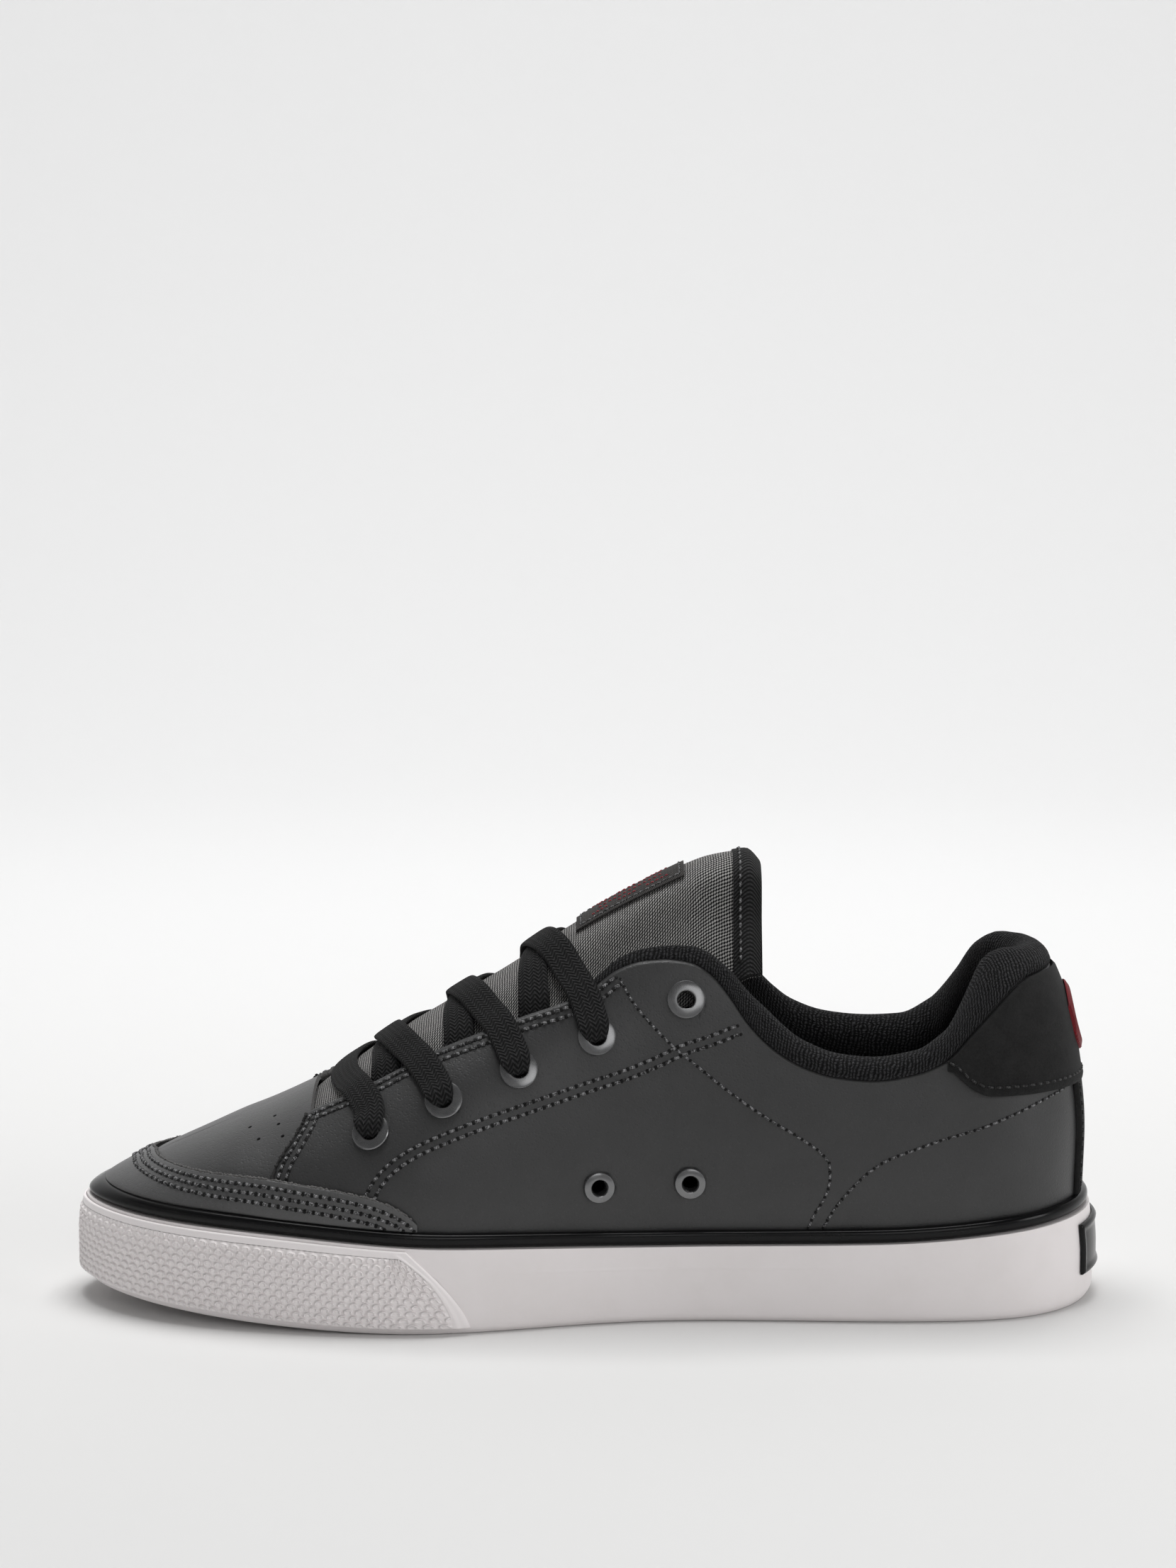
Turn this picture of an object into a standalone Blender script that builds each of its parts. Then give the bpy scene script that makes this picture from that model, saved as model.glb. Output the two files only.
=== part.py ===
"""A low skateboarding shoe for the right foot, about EU 42, empty and unlaced at its top eyelets.

Metres. +X points to the toe, +Y to the medial side, +Z up. The origin is on the floor under the heel's middle.

The shoe is built on a last. Every piece reads the same columns: a column is a vertical half-plane that
starts on the last's long axis and looks outward, so the columns fan out round the heel and round the toe.
In each column the last's skin is one profile, from the floor of the sole over the wall and up to the crown.
Tables hold shares of the named sizes. Their first column is the share of LENGTH from the back of the heel.
"""

import math
from collections import namedtuple

import bmesh
import bpy
import numpy as np
from mathutils import Vector

# Sizes of the sole
LENGTH = 0.2955
BALL_WIDTH = 0.108
SIDEWALL_HEIGHT = 0.022
SIDEWALL_THICKNESS = 0.0045
SOLE_FLOOR = 0.008
TOE_SPRING = 0.006
SOLE_EDGE_TUCK = 0.0017
SOLE_TOP_TUCK = 0.0012
BUMPER_THICKNESS = 0.0005
BUMPER_FOOT = 0.0016
STRIPE_HEIGHT = 0.0040
STRIPE_THICKNESS = 0.0024
BADGE_WIDTH = 0.040
BADGE_HEIGHT = 0.0150
BADGE_THICKNESS = 0.0008
BADGE_MIDDLE = 0.0165
GROOVE_WIDTH = 0.0022
GROOVE_DEPTH = 0.0016
GROOVE_PITCH = 0.0110
GROOVE_MARGIN = 0.0100

# Sizes of the upper and what is inside it
INSTEP_RISE = 0.100
WALL = 0.0022
BULGE = 0.0020
GAP = 0.0003
INSOLE_THICKNESS = 0.0050
OVERLAY = 0.0012
VAMP_STEP = 0.0008
BACKSTAY_WIDTH = 0.026
TONGUE_THICKNESS = 0.0065
LABEL_WIDTH = 0.0155
LABEL_THICKNESS = 0.0007
PATCH_WIDTH = 0.0180
PATCH_HEIGHT = 0.0200
PATCH_MIDDLE = 0.0815
PATCH_THICKNESS = 0.0010
COLLAR_PAD = 0.0090
COLLAR_RISE = 0.0070
COLLAR_DEPTH = 0.0300

# Sizes of the eyelets and the lace
EYELET_RADIUS = 0.0055
EYELET_BORE = 0.0025
EYELET_TUBE = 0.0005
EYELET_PROUD = 0.0009
VENT_RADIUS = 0.0045
VENT_BORE = 0.0022
HOLE_CLEARANCE = 0.0003
LACE_WIDTH = 0.0088
LACE_THICKNESS = 0.0019
LACE_CLEARANCE = 0.0010
BAR_BOW = 0.0090
CROSS_BOW = 0.0050
HIDDEN_SHARE = 0.80

# Places along the shoe, as shares of LENGTH from the back of the heel
HEEL_CENTRE = 0.147
HEEL_POLE = 0.154
THROAT_FRONT = 0.770
VAMP_RUN = 0.070
TOE_POLE = THROAT_FRONT + VAMP_RUN
COLLAR_FRONT = 0.470
POLE_OFFSET = 0.020

# Counts
MID_COLUMNS = 22
VAMP_COLUMNS = 3
HEEL_FAN = 7
TOE_FAN = 8
WALL_ROWS = 7
VAMP_ROWS = 5
LACE_STATIONS = 10
EYELET_SIDES = 9
DENSE = 1440

WALL_SHARES = (0, 0.05, 0.16, 0.5, 0.8, 1)

OutlinePoint = namedtuple("OutlinePoint", "along across")
OUTLINE = (
    # The sole's outline: share of LENGTH, share of BALL_WIDTH from the long axis, medial side positive
    OutlinePoint(0.000, 0.000),
    OutlinePoint(0.020, 0.185),
    OutlinePoint(0.072, 0.312),
    OutlinePoint(0.150, 0.360),
    OutlinePoint(0.250, 0.362),
    OutlinePoint(0.360, 0.350),
    OutlinePoint(0.460, 0.365),
    OutlinePoint(0.560, 0.430),
    OutlinePoint(0.650, 0.480),
    OutlinePoint(0.740, 0.474),
    OutlinePoint(0.830, 0.425),
    OutlinePoint(0.905, 0.345),
    OutlinePoint(0.963, 0.228),
    OutlinePoint(1.000, 0.030),
    OutlinePoint(0.982, -0.125),
    OutlinePoint(0.925, -0.290),
    OutlinePoint(0.845, -0.412),
    OutlinePoint(0.740, -0.492),
    OutlinePoint(0.640, -0.512),
    OutlinePoint(0.520, -0.478),
    OutlinePoint(0.400, -0.423),
    OutlinePoint(0.280, -0.385),
    OutlinePoint(0.150, -0.366),
    OutlinePoint(0.072, -0.315),
    OutlinePoint(0.020, -0.185),
)

Sidewall = namedtuple("Sidewall", "along height")
SIDEWALL = (
    # Height of the sole's wall over its bottom edge, in shares of SIDEWALL_HEIGHT
    Sidewall(0.00, 1.23),
    Sidewall(0.08, 1.15),
    Sidewall(0.22, 1.03),
    Sidewall(0.42, 0.99),
    Sidewall(0.62, 1.10),
    Sidewall(0.80, 1.19),
    Sidewall(1.00, 1.09),
)

Section = namedtuple("Section", "along widest crown side top bulge")
SECTIONS = (
    # The last. Heights are shares of INSTEP_RISE over SIDEWALL_HEIGHT: where it is widest, and its crown.
    # side and top are the exponents of the arch between them, and bulge is a share of BULGE.
    Section(0.000, 0.23, 1.080, 2.0, 2.0, 0.20),
    Section(0.100, 0.23, 0.990, 2.0, 2.0, 0.30),
    Section(0.200, 0.21, 0.910, 2.0, 2.0, 0.50),
    Section(0.300, 0.20, 0.955, 2.0, 2.0, 0.90),
    Section(0.400, 0.18, 1.035, 2.0, 2.0, 1.00),
    Section(0.510, 0.15, 0.872, 2.0, 2.1, 0.70),
    Section(0.580, 0.13, 0.747, 2.0, 2.1, 0.40),
    Section(0.640, 0.11, 0.637, 2.1, 2.1, 0.20),
    Section(0.700, 0.10, 0.525, 2.1, 2.1, 0.10),
    Section(0.772, 0.09, 0.400, 2.2, 2.1, 0.10),
    Section(0.840, 0.09, 0.312, 2.3, 2.1, 0.10),
    Section(0.907, 0.09, 0.240, 2.4, 2.1, 0.10),
    Section(0.940, 0.09, 0.208, 2.4, 2.1, 0.10),
    Section(1.000, 0.09, 0.158, 2.4, 2.1, 0.10),
)

Edge = namedtuple("Edge", "along medial lateral")
TOPLINE = (
    # Cut edge of the upper at the collar and the throat: shares of INSTEP_RISE over SIDEWALL_HEIGHT
    Edge(0.020, 0.755, 0.755),
    Edge(0.054, 0.753, 0.752),
    Edge(0.074, 0.745, 0.735),
    Edge(0.091, 0.715, 0.690),
    Edge(0.109, 0.665, 0.635),
    Edge(0.130, 0.603, 0.572),
    Edge(0.157, 0.525, 0.505),
    Edge(0.188, 0.490, 0.475),
    Edge(0.225, 0.474, 0.468),
    Edge(0.262, 0.484, 0.478),
    Edge(0.290, 0.508, 0.500),
    Edge(0.313, 0.543, 0.535),
    Edge(0.330, 0.582, 0.577),
    Edge(0.347, 0.635, 0.632),
    Edge(0.364, 0.707, 0.705),
    Edge(0.381, 0.765, 0.763),
    Edge(0.401, 0.800, 0.800),
    Edge(0.425, 0.809, 0.809),
    Edge(0.449, 0.802, 0.802),
    Edge(0.473, 0.777, 0.777),
    Edge(0.502, 0.716, 0.716),
    Edge(0.568, 0.644, 0.644),
    Edge(0.648, 0.548, 0.548),
    Edge(0.725, 0.429, 0.429),
    Edge(0.770, 0.366, 0.366),
)

Guard = namedtuple("Guard", "along height")
TOE_GUARD = (
    # Upper edge of the toe guard: shares of INSTEP_RISE over SIDEWALL_HEIGHT
    Guard(0.640, 0.020),
    Guard(0.656, 0.066),
    Guard(0.668, 0.105),
    Guard(0.684, 0.138),
    Guard(0.711, 0.167),
    Guard(0.765, 0.191),
    Guard(0.832, 0.203),
    Guard(0.904, 0.202),
    Guard(0.980, 0.195),
)
GUARD_BACK = 0.664
GUARD_LIFT = 0.0

QuarterFront = namedtuple("QuarterFront", "along place")
QUARTER_FRONT = (
    # The quarter's front edge: share of the way up to the throat's corner, and share of LENGTH
    QuarterFront(0.00, 0.806),
    QuarterFront(0.45, 0.805),
    QuarterFront(0.60, 0.800),
    QuarterFront(0.75, 0.788),
    QuarterFront(0.90, 0.777),
    QuarterFront(1.00, 0.773),
)

HeelTab = namedtuple("HeelTab", "along height")
HEEL_TAB = (
    # Lower edge of the heel tab: shares of INSTEP_RISE over SIDEWALL_HEIGHT
    HeelTab(0.000, 0.420),
    HeelTab(0.045, 0.425),
    HeelTab(0.090, 0.426),
    HeelTab(0.115, 0.428),
    HeelTab(0.130, 0.447),
    HeelTab(0.150, 0.500),
)

Tongue = namedtuple("Tongue", "along crown ridge inset spread thickness")
TONGUE = (
    # Its crown as a share of INSTEP_RISE over SIDEWALL_HEIGHT, how many millimetres its middle and its
    # sides are inside that, its half width as a share of the last's reach, and shares of TONGUE_THICKNESS
    Tongue(0.333, 1.066, 0.0, 7.0, 0.78, 0.85),
    Tongue(0.346, 1.084, 0.0, 7.0, 0.80, 1.05),
    Tongue(0.364, 1.077, 0.0, 7.6, 0.82, 1.10),
    Tongue(0.385, 1.064, 0.0, 6.8, 0.84, 1.10),
    Tongue(0.402, 1.045, 0.0, 6.0, 0.85, 1.10),
    Tongue(0.440, 0.990, 0.0, 5.2, 0.85, 1.05),
    Tongue(0.477, 0.931, 0.0, 4.9, 0.85, 1.00),
    Tongue(0.512, 0.868, 0.0, 3.6, 0.85, 0.95),
    Tongue(0.584, 0.728, 0.0, 3.2, 0.84, 0.85),
    Tongue(0.659, 0.594, 0.0, 3.2, 0.82, 0.75),
    Tongue(0.700, 0.520, 0.2, 3.2, 0.80, 0.65),
    Tongue(0.731, 0.460, 0.9, 3.2, 0.76, 0.58),
    Tongue(0.760, 0.416, 2.6, 3.5, 0.72, 0.50),
    Tongue(0.775, 0.394, 4.0, 4.0, 0.70, 0.46),
    Tongue(0.812, 0.345, 4.4, 4.4, 0.64, 0.40),
)
TONGUE_PLACES = (
    0.333, 0.341, 0.352, 0.370, 0.400, 0.440, 0.480, 0.520, 0.560, 0.600, 0.640, 0.680, 0.720, 0.750, 0.775, 0.812,
)
LABEL_ENDS = (0.407, 0.512)

Collar = namedtuple("Collar", "along rise pad depth")
COLLAR = (
    # Padded roll on the edge: shares of COLLAR_RISE, COLLAR_PAD and COLLAR_DEPTH
    Collar(0.000, 1.15, 1.00, 1.00),
    Collar(0.060, 1.40, 1.00, 1.00),
    Collar(0.103, 2.00, 1.05, 1.00),
    Collar(0.127, 1.70, 1.05, 0.95),
    Collar(0.160, 1.25, 1.00, 0.85),
    Collar(0.184, 1.00, 0.95, 0.80),
    Collar(0.250, 1.00, 0.85, 0.75),
    Collar(0.295, 1.15, 0.80, 0.70),
    Collar(0.330, 1.45, 0.60, 0.60),
    Collar(0.350, 1.35, 0.48, 0.48),
    Collar(0.377, 0.95, 0.34, 0.30),
    Collar(0.420, 0.62, 0.22, 0.16),
    Collar(0.471, 0.48, 0.18, 0.13),
    Collar(0.505, 0.28, 0.15, 0.11),
)

Hole = namedtuple("Hole", "along height")
EYELETS = (
    # Shares of LENGTH, and of INSTEP_RISE over SIDEWALL_HEIGHT, from the toe end up
    Hole(0.709, 0.340),
    Hole(0.639, 0.432),
    Hole(0.567, 0.513),
    Hole(0.492, 0.600),
    Hole(0.406, 0.700),
)
VENTS = (
    Hole(0.490, 0.176),
    Hole(0.402, 0.181),
)

COLOURS = {
    "grey_leather": (0.060, 0.060, 0.062, 0.55, 0.0),
    "black_nubuck": (0.010, 0.010, 0.010, 0.85, 0.0),
    "black_terry": (0.006, 0.006, 0.007, 0.95, 0.0),
    "grey_canvas": (0.110, 0.108, 0.105, 0.90, 0.0),
    "black_lace": (0.012, 0.012, 0.013, 0.85, 0.0),
    "white_rubber": (0.780, 0.750, 0.740, 0.50, 0.0),
    "black_rubber": (0.010, 0.010, 0.010, 0.30, 0.0),
    "red_thread": (0.300, 0.015, 0.025, 0.60, 0.0),
    "grey_metal": (0.060, 0.062, 0.068, 0.35, 0.6),
}


def smooth(table, along, name):
    """Value of one column of a table at these places, by a monotone cubic through its rows."""
    x = np.array([row.along for row in table])
    y = np.array([getattr(row, name) for row in table])
    step = np.diff(x)
    rise = np.diff(y) / step
    slope = np.concatenate([rise[:1], np.zeros(len(x) - 2), rise[-1:]])
    same_way = rise[:-1] * rise[1:] > 0
    left, right = 2 * step[1:] + step[:-1], step[1:] + 2 * step[:-1]
    safe = np.where(same_way, rise[:-1], 1.0), np.where(same_way, rise[1:], 1.0)
    slope[1:-1] = np.where(same_way, (left + right) / (left / safe[0] + right / safe[1]), 0.0)
    at = np.clip(along, x[0], x[-1])
    i = np.clip(np.searchsorted(x, at, side="right") - 1, 0, len(x) - 2)
    t = (at - x[i]) / step[i]
    return (
        (2 * t**3 - 3 * t**2 + 1) * y[i]
        + (t**3 - 2 * t**2 + t) * slope[i] * step[i]
        + (3 * t**2 - 2 * t**3) * y[i + 1]
        + (t**3 - t**2) * slope[i + 1] * step[i]
    )


def closed_spline(points, count):
    """A closed curve with smooth curvature through the points, sampled at count places."""
    size = len(points)
    chord = np.linalg.norm(np.roll(points, -1, axis=0) - points, axis=1)
    matrix, right = np.zeros((size, size)), np.zeros((size, 2))
    for i in range(size):
        before, after, following = chord[i - 1], chord[i], (i + 1) % size
        matrix[i, i - 1], matrix[i, i], matrix[i, following] = after, 2 * (before + after), before
        into = after * (points[i] - points[i - 1]) / before
        out = before * (points[following] - points[i]) / after
        right[i] = 3 * (into + out)
    slope = np.linalg.solve(matrix, right)
    knots = np.concatenate([[0], np.cumsum(chord)])
    at = np.linspace(0, knots[-1], count, endpoint=False)
    i = np.clip(np.searchsorted(knots, at, side="right") - 1, 0, size - 1)
    following = (i + 1) % size
    t = ((at - knots[i]) / chord[i])[:, None]
    length = chord[i][:, None]
    return (
        (2 * t**3 - 3 * t**2 + 1) * points[i]
        + (t**3 - 2 * t**2 + t) * slope[i] * length
        + (3 * t**2 - 2 * t**3) * points[following]
        + (t**3 - t**2) * slope[following] * length
    )


def inset(curve, distance):
    """The closed curve, which runs clockwise from above, moved inwards by a distance."""
    along = np.roll(curve, -1, axis=0) - np.roll(curve, 1, axis=0)
    along /= np.linalg.norm(along, axis=1)[:, None]
    return curve + distance * np.stack([along[:, 1], -along[:, 0]], axis=1)


def share(x):
    return x / LENGTH + HEEL_CENTRE


def place(along):
    return (along - HEEL_CENTRE) * LENGTH


SOLE = closed_spline(np.array(OUTLINE) * (LENGTH, BALL_WIDTH), DENSE) - (HEEL_CENTRE * LENGTH, 0)
FEATHER = inset(SOLE, SIDEWALL_THICKNESS)


def floor_line(x):
    """Height of the sole's underside: flat under heel and ball, then rising to the toe."""
    return TOE_SPRING * np.clip((share(x) - 0.66) / 0.34, 0, None) ** 1.6


def sidewall_top(x):
    return floor_line(x) + SIDEWALL_HEIGHT * smooth(SIDEWALL, share(x), "height")


def sole_inside(x):
    """Height of the floor inside the sole's cup."""
    return floor_line(x) + SOLE_FLOOR


def upper_height(value):
    return SIDEWALL_HEIGHT + INSTEP_RISE * value


def axis_offset(x):
    """How far the last's long axis lies to the medial side."""
    along = (x - place(HEEL_POLE)) / (place(TOE_POLE) - place(HEEL_POLE))
    return POLE_OFFSET * BALL_WIDTH * np.clip(along, 0, 1)


def side_offset(curve, x, side):
    """Distance from y = 0 of the curve's medial (side 1) or lateral (side -1) branch at x."""
    back, front = curve[:, 0].argmin(), curve[:, 0].argmax()
    turned = np.roll(curve, -back, axis=0)
    turn = (front - back) % len(curve)
    medial, lateral = turned[: turn + 1], turned[turn:][::-1]
    branch = medial if side > 0 else lateral
    return np.interp(x, branch[:, 0], side * branch[:, 1])


def fan_reach(curve, pole, angle):
    """Distance from the pole to the curve in the direction of the angle."""
    away = curve - pole
    angles = np.arctan2(away[:, 1], away[:, 0])
    order = np.argsort(angles)
    return np.interp(angle, angles[order], np.linalg.norm(away, axis=1)[order], period=2 * math.pi)


class Skin:
    """The last's skin in one column: points by the distance run along it from the sole's inside floor."""

    def __init__(self, column, flat):
        self.column, self.flat = column, flat
        tangent = np.gradient(flat, axis=0)
        tangent[-1] = (-1, 0)
        tangent /= np.linalg.norm(tangent, axis=1)[:, None]
        self.normal = np.stack([tangent[:, 1], -tangent[:, 0]], axis=1)
        steps = np.linalg.norm(np.diff(flat, axis=0), axis=1)
        self.run = np.concatenate([[0], np.cumsum(steps)])
        self.length = float(self.run[-1])

    def at(self, run, lift=0.0):
        """Points at distances along the skin, lifted off it by some distance."""
        run = np.atleast_1d(run)
        flat = np.stack([np.interp(run, self.run, self.flat[:, k]) for k in range(2)], axis=1)
        normal = np.stack([np.interp(run, self.run, self.normal[:, k]) for k in range(2)], axis=1)
        flat = flat + np.broadcast_to(lift, run.shape)[:, None] * normal
        plan = self.column.axis + flat[:, :1] * self.column.way
        return np.column_stack([plan, flat[:, 1]])

    def up_to(self, line):
        """Where the skin first rises above a line, which is a function of x."""
        x = self.column.axis[0] + self.flat[:, 0] * self.column.way[0]
        over = self.flat[:, 1] - line(x)
        above = np.nonzero(over > 0)[0]
        if len(above) == 0:
            return self.length
        i = max(int(above[0]), 1)
        part = np.clip(-over[i - 1] / (over[i] - over[i - 1]), 0, 1)
        return float(self.run[i - 1] + part * (self.run[i] - self.run[i - 1]))

    def within(self, distance):
        """Where the skin comes this close to the axis, over its widest place."""
        widest = int(self.flat[:, 0].argmax())
        return float(np.interp(-distance, -self.flat[widest:, 0], self.run[widest:]))


class Column:
    """A vertical half-plane of the last, from its long axis outward."""

    def __init__(self, x, side, angle=None):
        self.x, self.side = x, side
        self.axis = np.array([x, float(axis_offset(x))])
        self.fan = angle is not None
        self.angle = side * math.pi / 2 if angle is None else angle
        self.way = np.array([math.cos(self.angle), math.sin(self.angle)])

    def reach(self, curve):
        if self.fan:
            return float(fan_reach(curve, self.axis, self.angle))
        return float(side_offset(curve, self.x, self.side)) - self.side * float(self.axis[1])

    def at(self, distance, height):
        """Point at a distance from the axis."""
        plan = self.axis + self.way * distance
        return (float(plan[0]), float(plan[1]), float(height))

    def skin(self, crown=None):
        """The last's skin here. crown, a function of the share along, replaces the last's own crown."""
        reach = self.reach(FEATHER)
        foot = self.at(reach, 0)
        at_foot = share(foot[0])
        widest = upper_height(float(smooth(SECTIONS, at_foot, "widest")))
        bulge = BULGE * float(smooth(SECTIONS, at_foot, "bulge"))
        low, top = float(sole_inside(foot[0])) + GAP, float(sidewall_top(foot[0]))
        wall = [(reach, z) for z in np.linspace(low, top, 6, endpoint=False)]
        for t in np.linspace(0, 1, 8, endpoint=False):
            wall.append((reach + bulge * math.sin(t * math.pi / 2), top + (widest - top) * t))
        turn = np.linspace(0, math.pi / 2, 64)
        distance = (reach + bulge) * np.cos(turn)
        for _ in range(4):
            along = share(self.axis[0] + self.way[0] * distance)
            distance = (reach + bulge) * np.cos(turn) ** (2 / smooth(SECTIONS, along, "side"))
        peak = smooth(SECTIONS, along, "crown") if crown is None else crown(along)
        height = widest + (upper_height(peak) - widest) * np.sin(turn) ** (2 / smooth(SECTIONS, along, "top"))
        return Skin(self, np.concatenate([np.array(wall), np.stack([distance, height], axis=1)]))


MID_PLACES = list(np.linspace(place(HEEL_POLE), place(THROAT_FRONT), MID_COLUMNS, endpoint=False))
VAMP_PLACES = list(np.linspace(place(THROAT_FRONT), place(TOE_POLE), VAMP_COLUMNS + 1))


def columns():
    """All columns: up the medial side from the heel's back to the toe's tip, and back down the lateral side."""
    places, quarter = MID_PLACES + VAMP_PLACES, math.pi / 2
    found = [Column(places[0], 1, math.pi - quarter * k / HEEL_FAN) for k in range(HEEL_FAN)]
    found += [Column(x, 1) for x in places]
    for k in range(1, 2 * TOE_FAN):
        found.append(Column(places[-1], 1 if k < TOE_FAN else -1, quarter - quarter * k / TOE_FAN))
    found += [Column(x, -1) for x in reversed(places)]
    found += [Column(places[0], -1, -quarter - quarter * k / HEEL_FAN) for k in range(1, HEEL_FAN)]
    return found


def rear_columns(front):
    """Columns round the heel, from this share along on the medial side back to the same on the lateral side."""
    listed = columns()
    half = len(listed) // 2
    turned = listed[half:] + listed[:half]
    return [c for c in turned if share(c.x) <= front + 1e-6]


def front_columns(back, listed=None):
    """Columns round the toe, from this share along on the medial side to the same on the lateral side."""
    listed = listed or columns()
    return [c for c in listed if share(c.x) >= back - 1e-6]


def topline(side):
    name = "medial" if side > 0 else "lateral"
    return lambda x: upper_height(smooth(TOPLINE, share(x), name))


def height_line(table):
    return lambda x: upper_height(smooth(table, share(x), "height"))


def material(slot):
    found = bpy.data.materials.get(slot)
    if found:
        return found
    red, green, blue, roughness, metallic = COLOURS[slot]
    found = bpy.data.materials.new(slot)
    found.use_nodes = True
    shader = found.node_tree.nodes["Principled BSDF"]
    shader.inputs["Base Color"].default_value = (red, green, blue, 1)
    shader.inputs["Roughness"].default_value = roughness
    shader.inputs["Metallic"].default_value = metallic
    return found


def collection(name, hidden=False):
    found = bpy.data.collections.get(name)
    if not found:
        found = bpy.data.collections.new(name)
        found.hide_render = hidden
        bpy.context.scene.collection.children.link(found)
    return found


def new_object(name, mesh, slot):
    obj = bpy.data.objects.new(name, mesh)
    mesh.materials.append(material(slot))
    collection("skate_shoe").objects.link(obj)
    return obj


def new_cutter(name, mesh):
    obj = bpy.data.objects.new(name, mesh)
    obj.hide_render = True
    obj.display_type = "WIRE"
    collection("cutters", hidden=True).objects.link(obj)
    return obj


def cut(obj, cutter, operation="DIFFERENCE"):
    boolean = obj.modifiers.new(operation.title(), "BOOLEAN")
    boolean.operation = operation
    boolean.object = cutter
    boolean.solver = "EXACT"


def finished(name, mesh, closed=True):
    """Welds a bmesh, drops its collapsed faces, turns its faces out, and makes a mesh of it.

    An open mesh is turned away from the inside of the last.
    """
    bmesh.ops.remove_doubles(mesh, verts=mesh.verts, dist=1e-6)
    bmesh.ops.dissolve_degenerate(mesh, edges=mesh.edges, dist=1e-7)
    bmesh.ops.recalc_face_normals(mesh, faces=mesh.faces)
    if not closed:
        inside = Vector((place(0.5), 0, SIDEWALL_HEIGHT))
        out = sum(f.normal.dot(f.calc_center_median() - inside) * f.calc_area() for f in mesh.faces)
        if out < 0:
            bmesh.ops.reverse_faces(mesh, faces=mesh.faces)
    data = bpy.data.meshes.new(name)
    mesh.to_mesh(data)
    mesh.free()
    data.shade_smooth()
    data.set_sharp_from_angle(angle=math.radians(40))
    return data


def loft(name, rows, around=False, loops=True, closed=True):
    """A mesh with a row of points for each station: quads between neighbouring stations.

    around joins the last station to the first. loops closes each row on itself, and then the two end rows
    of a loft that isn't joined around get a face each.
    """
    mesh = bmesh.new()
    made = [[mesh.verts.new(point) for point in row] for row in rows]
    count, size = len(made), len(made[0])
    for i in range(count if around else count - 1):
        for j in range(size if loops else size - 1):
            a, b = made[i], made[(i + 1) % count]
            mesh.faces.new((a[j], b[j], b[(j + 1) % size], a[(j + 1) % size]))
    if loops and not around:
        mesh.faces.new(made[0])
        mesh.faces.new(made[-1][::-1])
    return finished(name, mesh, closed)


def ladder(mesh, verts):
    """Fills a loop with one vertex for each column by faces across, between the two sides' mirrored columns."""
    count = len(verts)
    for i in range(count // 2):
        face = [verts[i], verts[i + 1], verts[count - i - 1], verts[(count - i) % count]]
        mesh.faces.new(list(dict.fromkeys(face)))


def slab(name, outlines):
    """A mesh from loops, which have one point for each column, stacked up and closed below and above."""
    mesh = bmesh.new()
    made = [[mesh.verts.new(point) for point in loop] for loop in outlines]
    for low, high in zip(made, made[1:]):
        for i in range(len(low)):
            following = (i + 1) % len(low)
            mesh.faces.new((low[i], low[following], high[following], high[i]))
    ladder(mesh, made[0])
    ladder(mesh, made[-1])
    return finished(name, mesh)


def solidify(obj, thickness, start=0.0):
    """Gives an open surface its wall, outwards from start, or inwards for a negative thickness."""
    shell = obj.modifiers.new("Wall", "SOLIDIFY")
    shell.thickness = abs(thickness)
    shell.offset = math.copysign(1.0, thickness) + 2 * start / abs(thickness)
    shell.use_even_offset = True
    shell.use_quality_normals = True


def sheet(name, rows, slot, thickness, start=GAP):
    """A thin layer over the last: an open surface of rows of points, with its wall outwards."""
    obj = new_object(name, loft(name, rows, loops=False, closed=False), slot)
    solidify(obj, thickness, start)
    return obj


def sidewall_point(column, share_up, lift=0.0):
    """Point of the sole's outer wall at a share of its height."""
    tucks = (SOLE_EDGE_TUCK, 0.5 * SOLE_EDGE_TUCK, 0.1 * SOLE_EDGE_TUCK, 0, 0.3 * SOLE_TOP_TUCK, SOLE_TOP_TUCK)
    tuck = np.interp(share_up, WALL_SHARES, tucks)
    edge = column.at(column.reach(SOLE), 0)[0]
    low, top = float(floor_line(edge)), float(sidewall_top(edge))
    return column.at(column.reach(SOLE) - tuck + lift, low + (top - low) * share_up)


def make_cupsole():
    """The sole: its wall all round, closed below, with an inside for the upper and the insole."""
    outlines = [[sidewall_point(c, s) for c in columns()] for s in WALL_SHARES]
    inner_top, inner_floor = [], []
    for column in columns():
        foot, edge = column.at(column.reach(FEATHER), 0)[0], column.at(column.reach(SOLE), 0)[0]
        inner_top.append(column.at(column.reach(FEATHER) + GAP, sidewall_top(edge)))
        inner_floor.append(column.at(column.reach(FEATHER) + GAP, sole_inside(foot)))
    obj = new_object("cupsole", slab("cupsole", outlines + [inner_top, inner_floor]), "white_rubber")
    mesh = bmesh.new()
    for x in groove_places():
        low = float(floor_line(x))
        half = [float(side_offset(SOLE, x, side)) - GROOVE_MARGIN for side in (1, -1)]
        made = bmesh.ops.create_cube(mesh, size=1)["verts"]
        bmesh.ops.scale(mesh, verts=made, vec=(GROOVE_WIDTH, half[0] + half[1], 2 * GROOVE_DEPTH))
        bmesh.ops.translate(mesh, verts=made, vec=(x, (half[0] - half[1]) / 2, low))
    cut(obj, new_cutter("grooves", finished("grooves", mesh)))


def groove_places():
    """Tread grooves either side of the heel's and the ball's middle, which stay whole to stand on."""
    ball = place(0.655)
    heel = [GROOVE_PITCH * (k + 0.5) for k in range(-3, 3)]
    return heel + [ball + GROOVE_PITCH * (k + 0.5) for k in range(-4, 6)]


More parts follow.
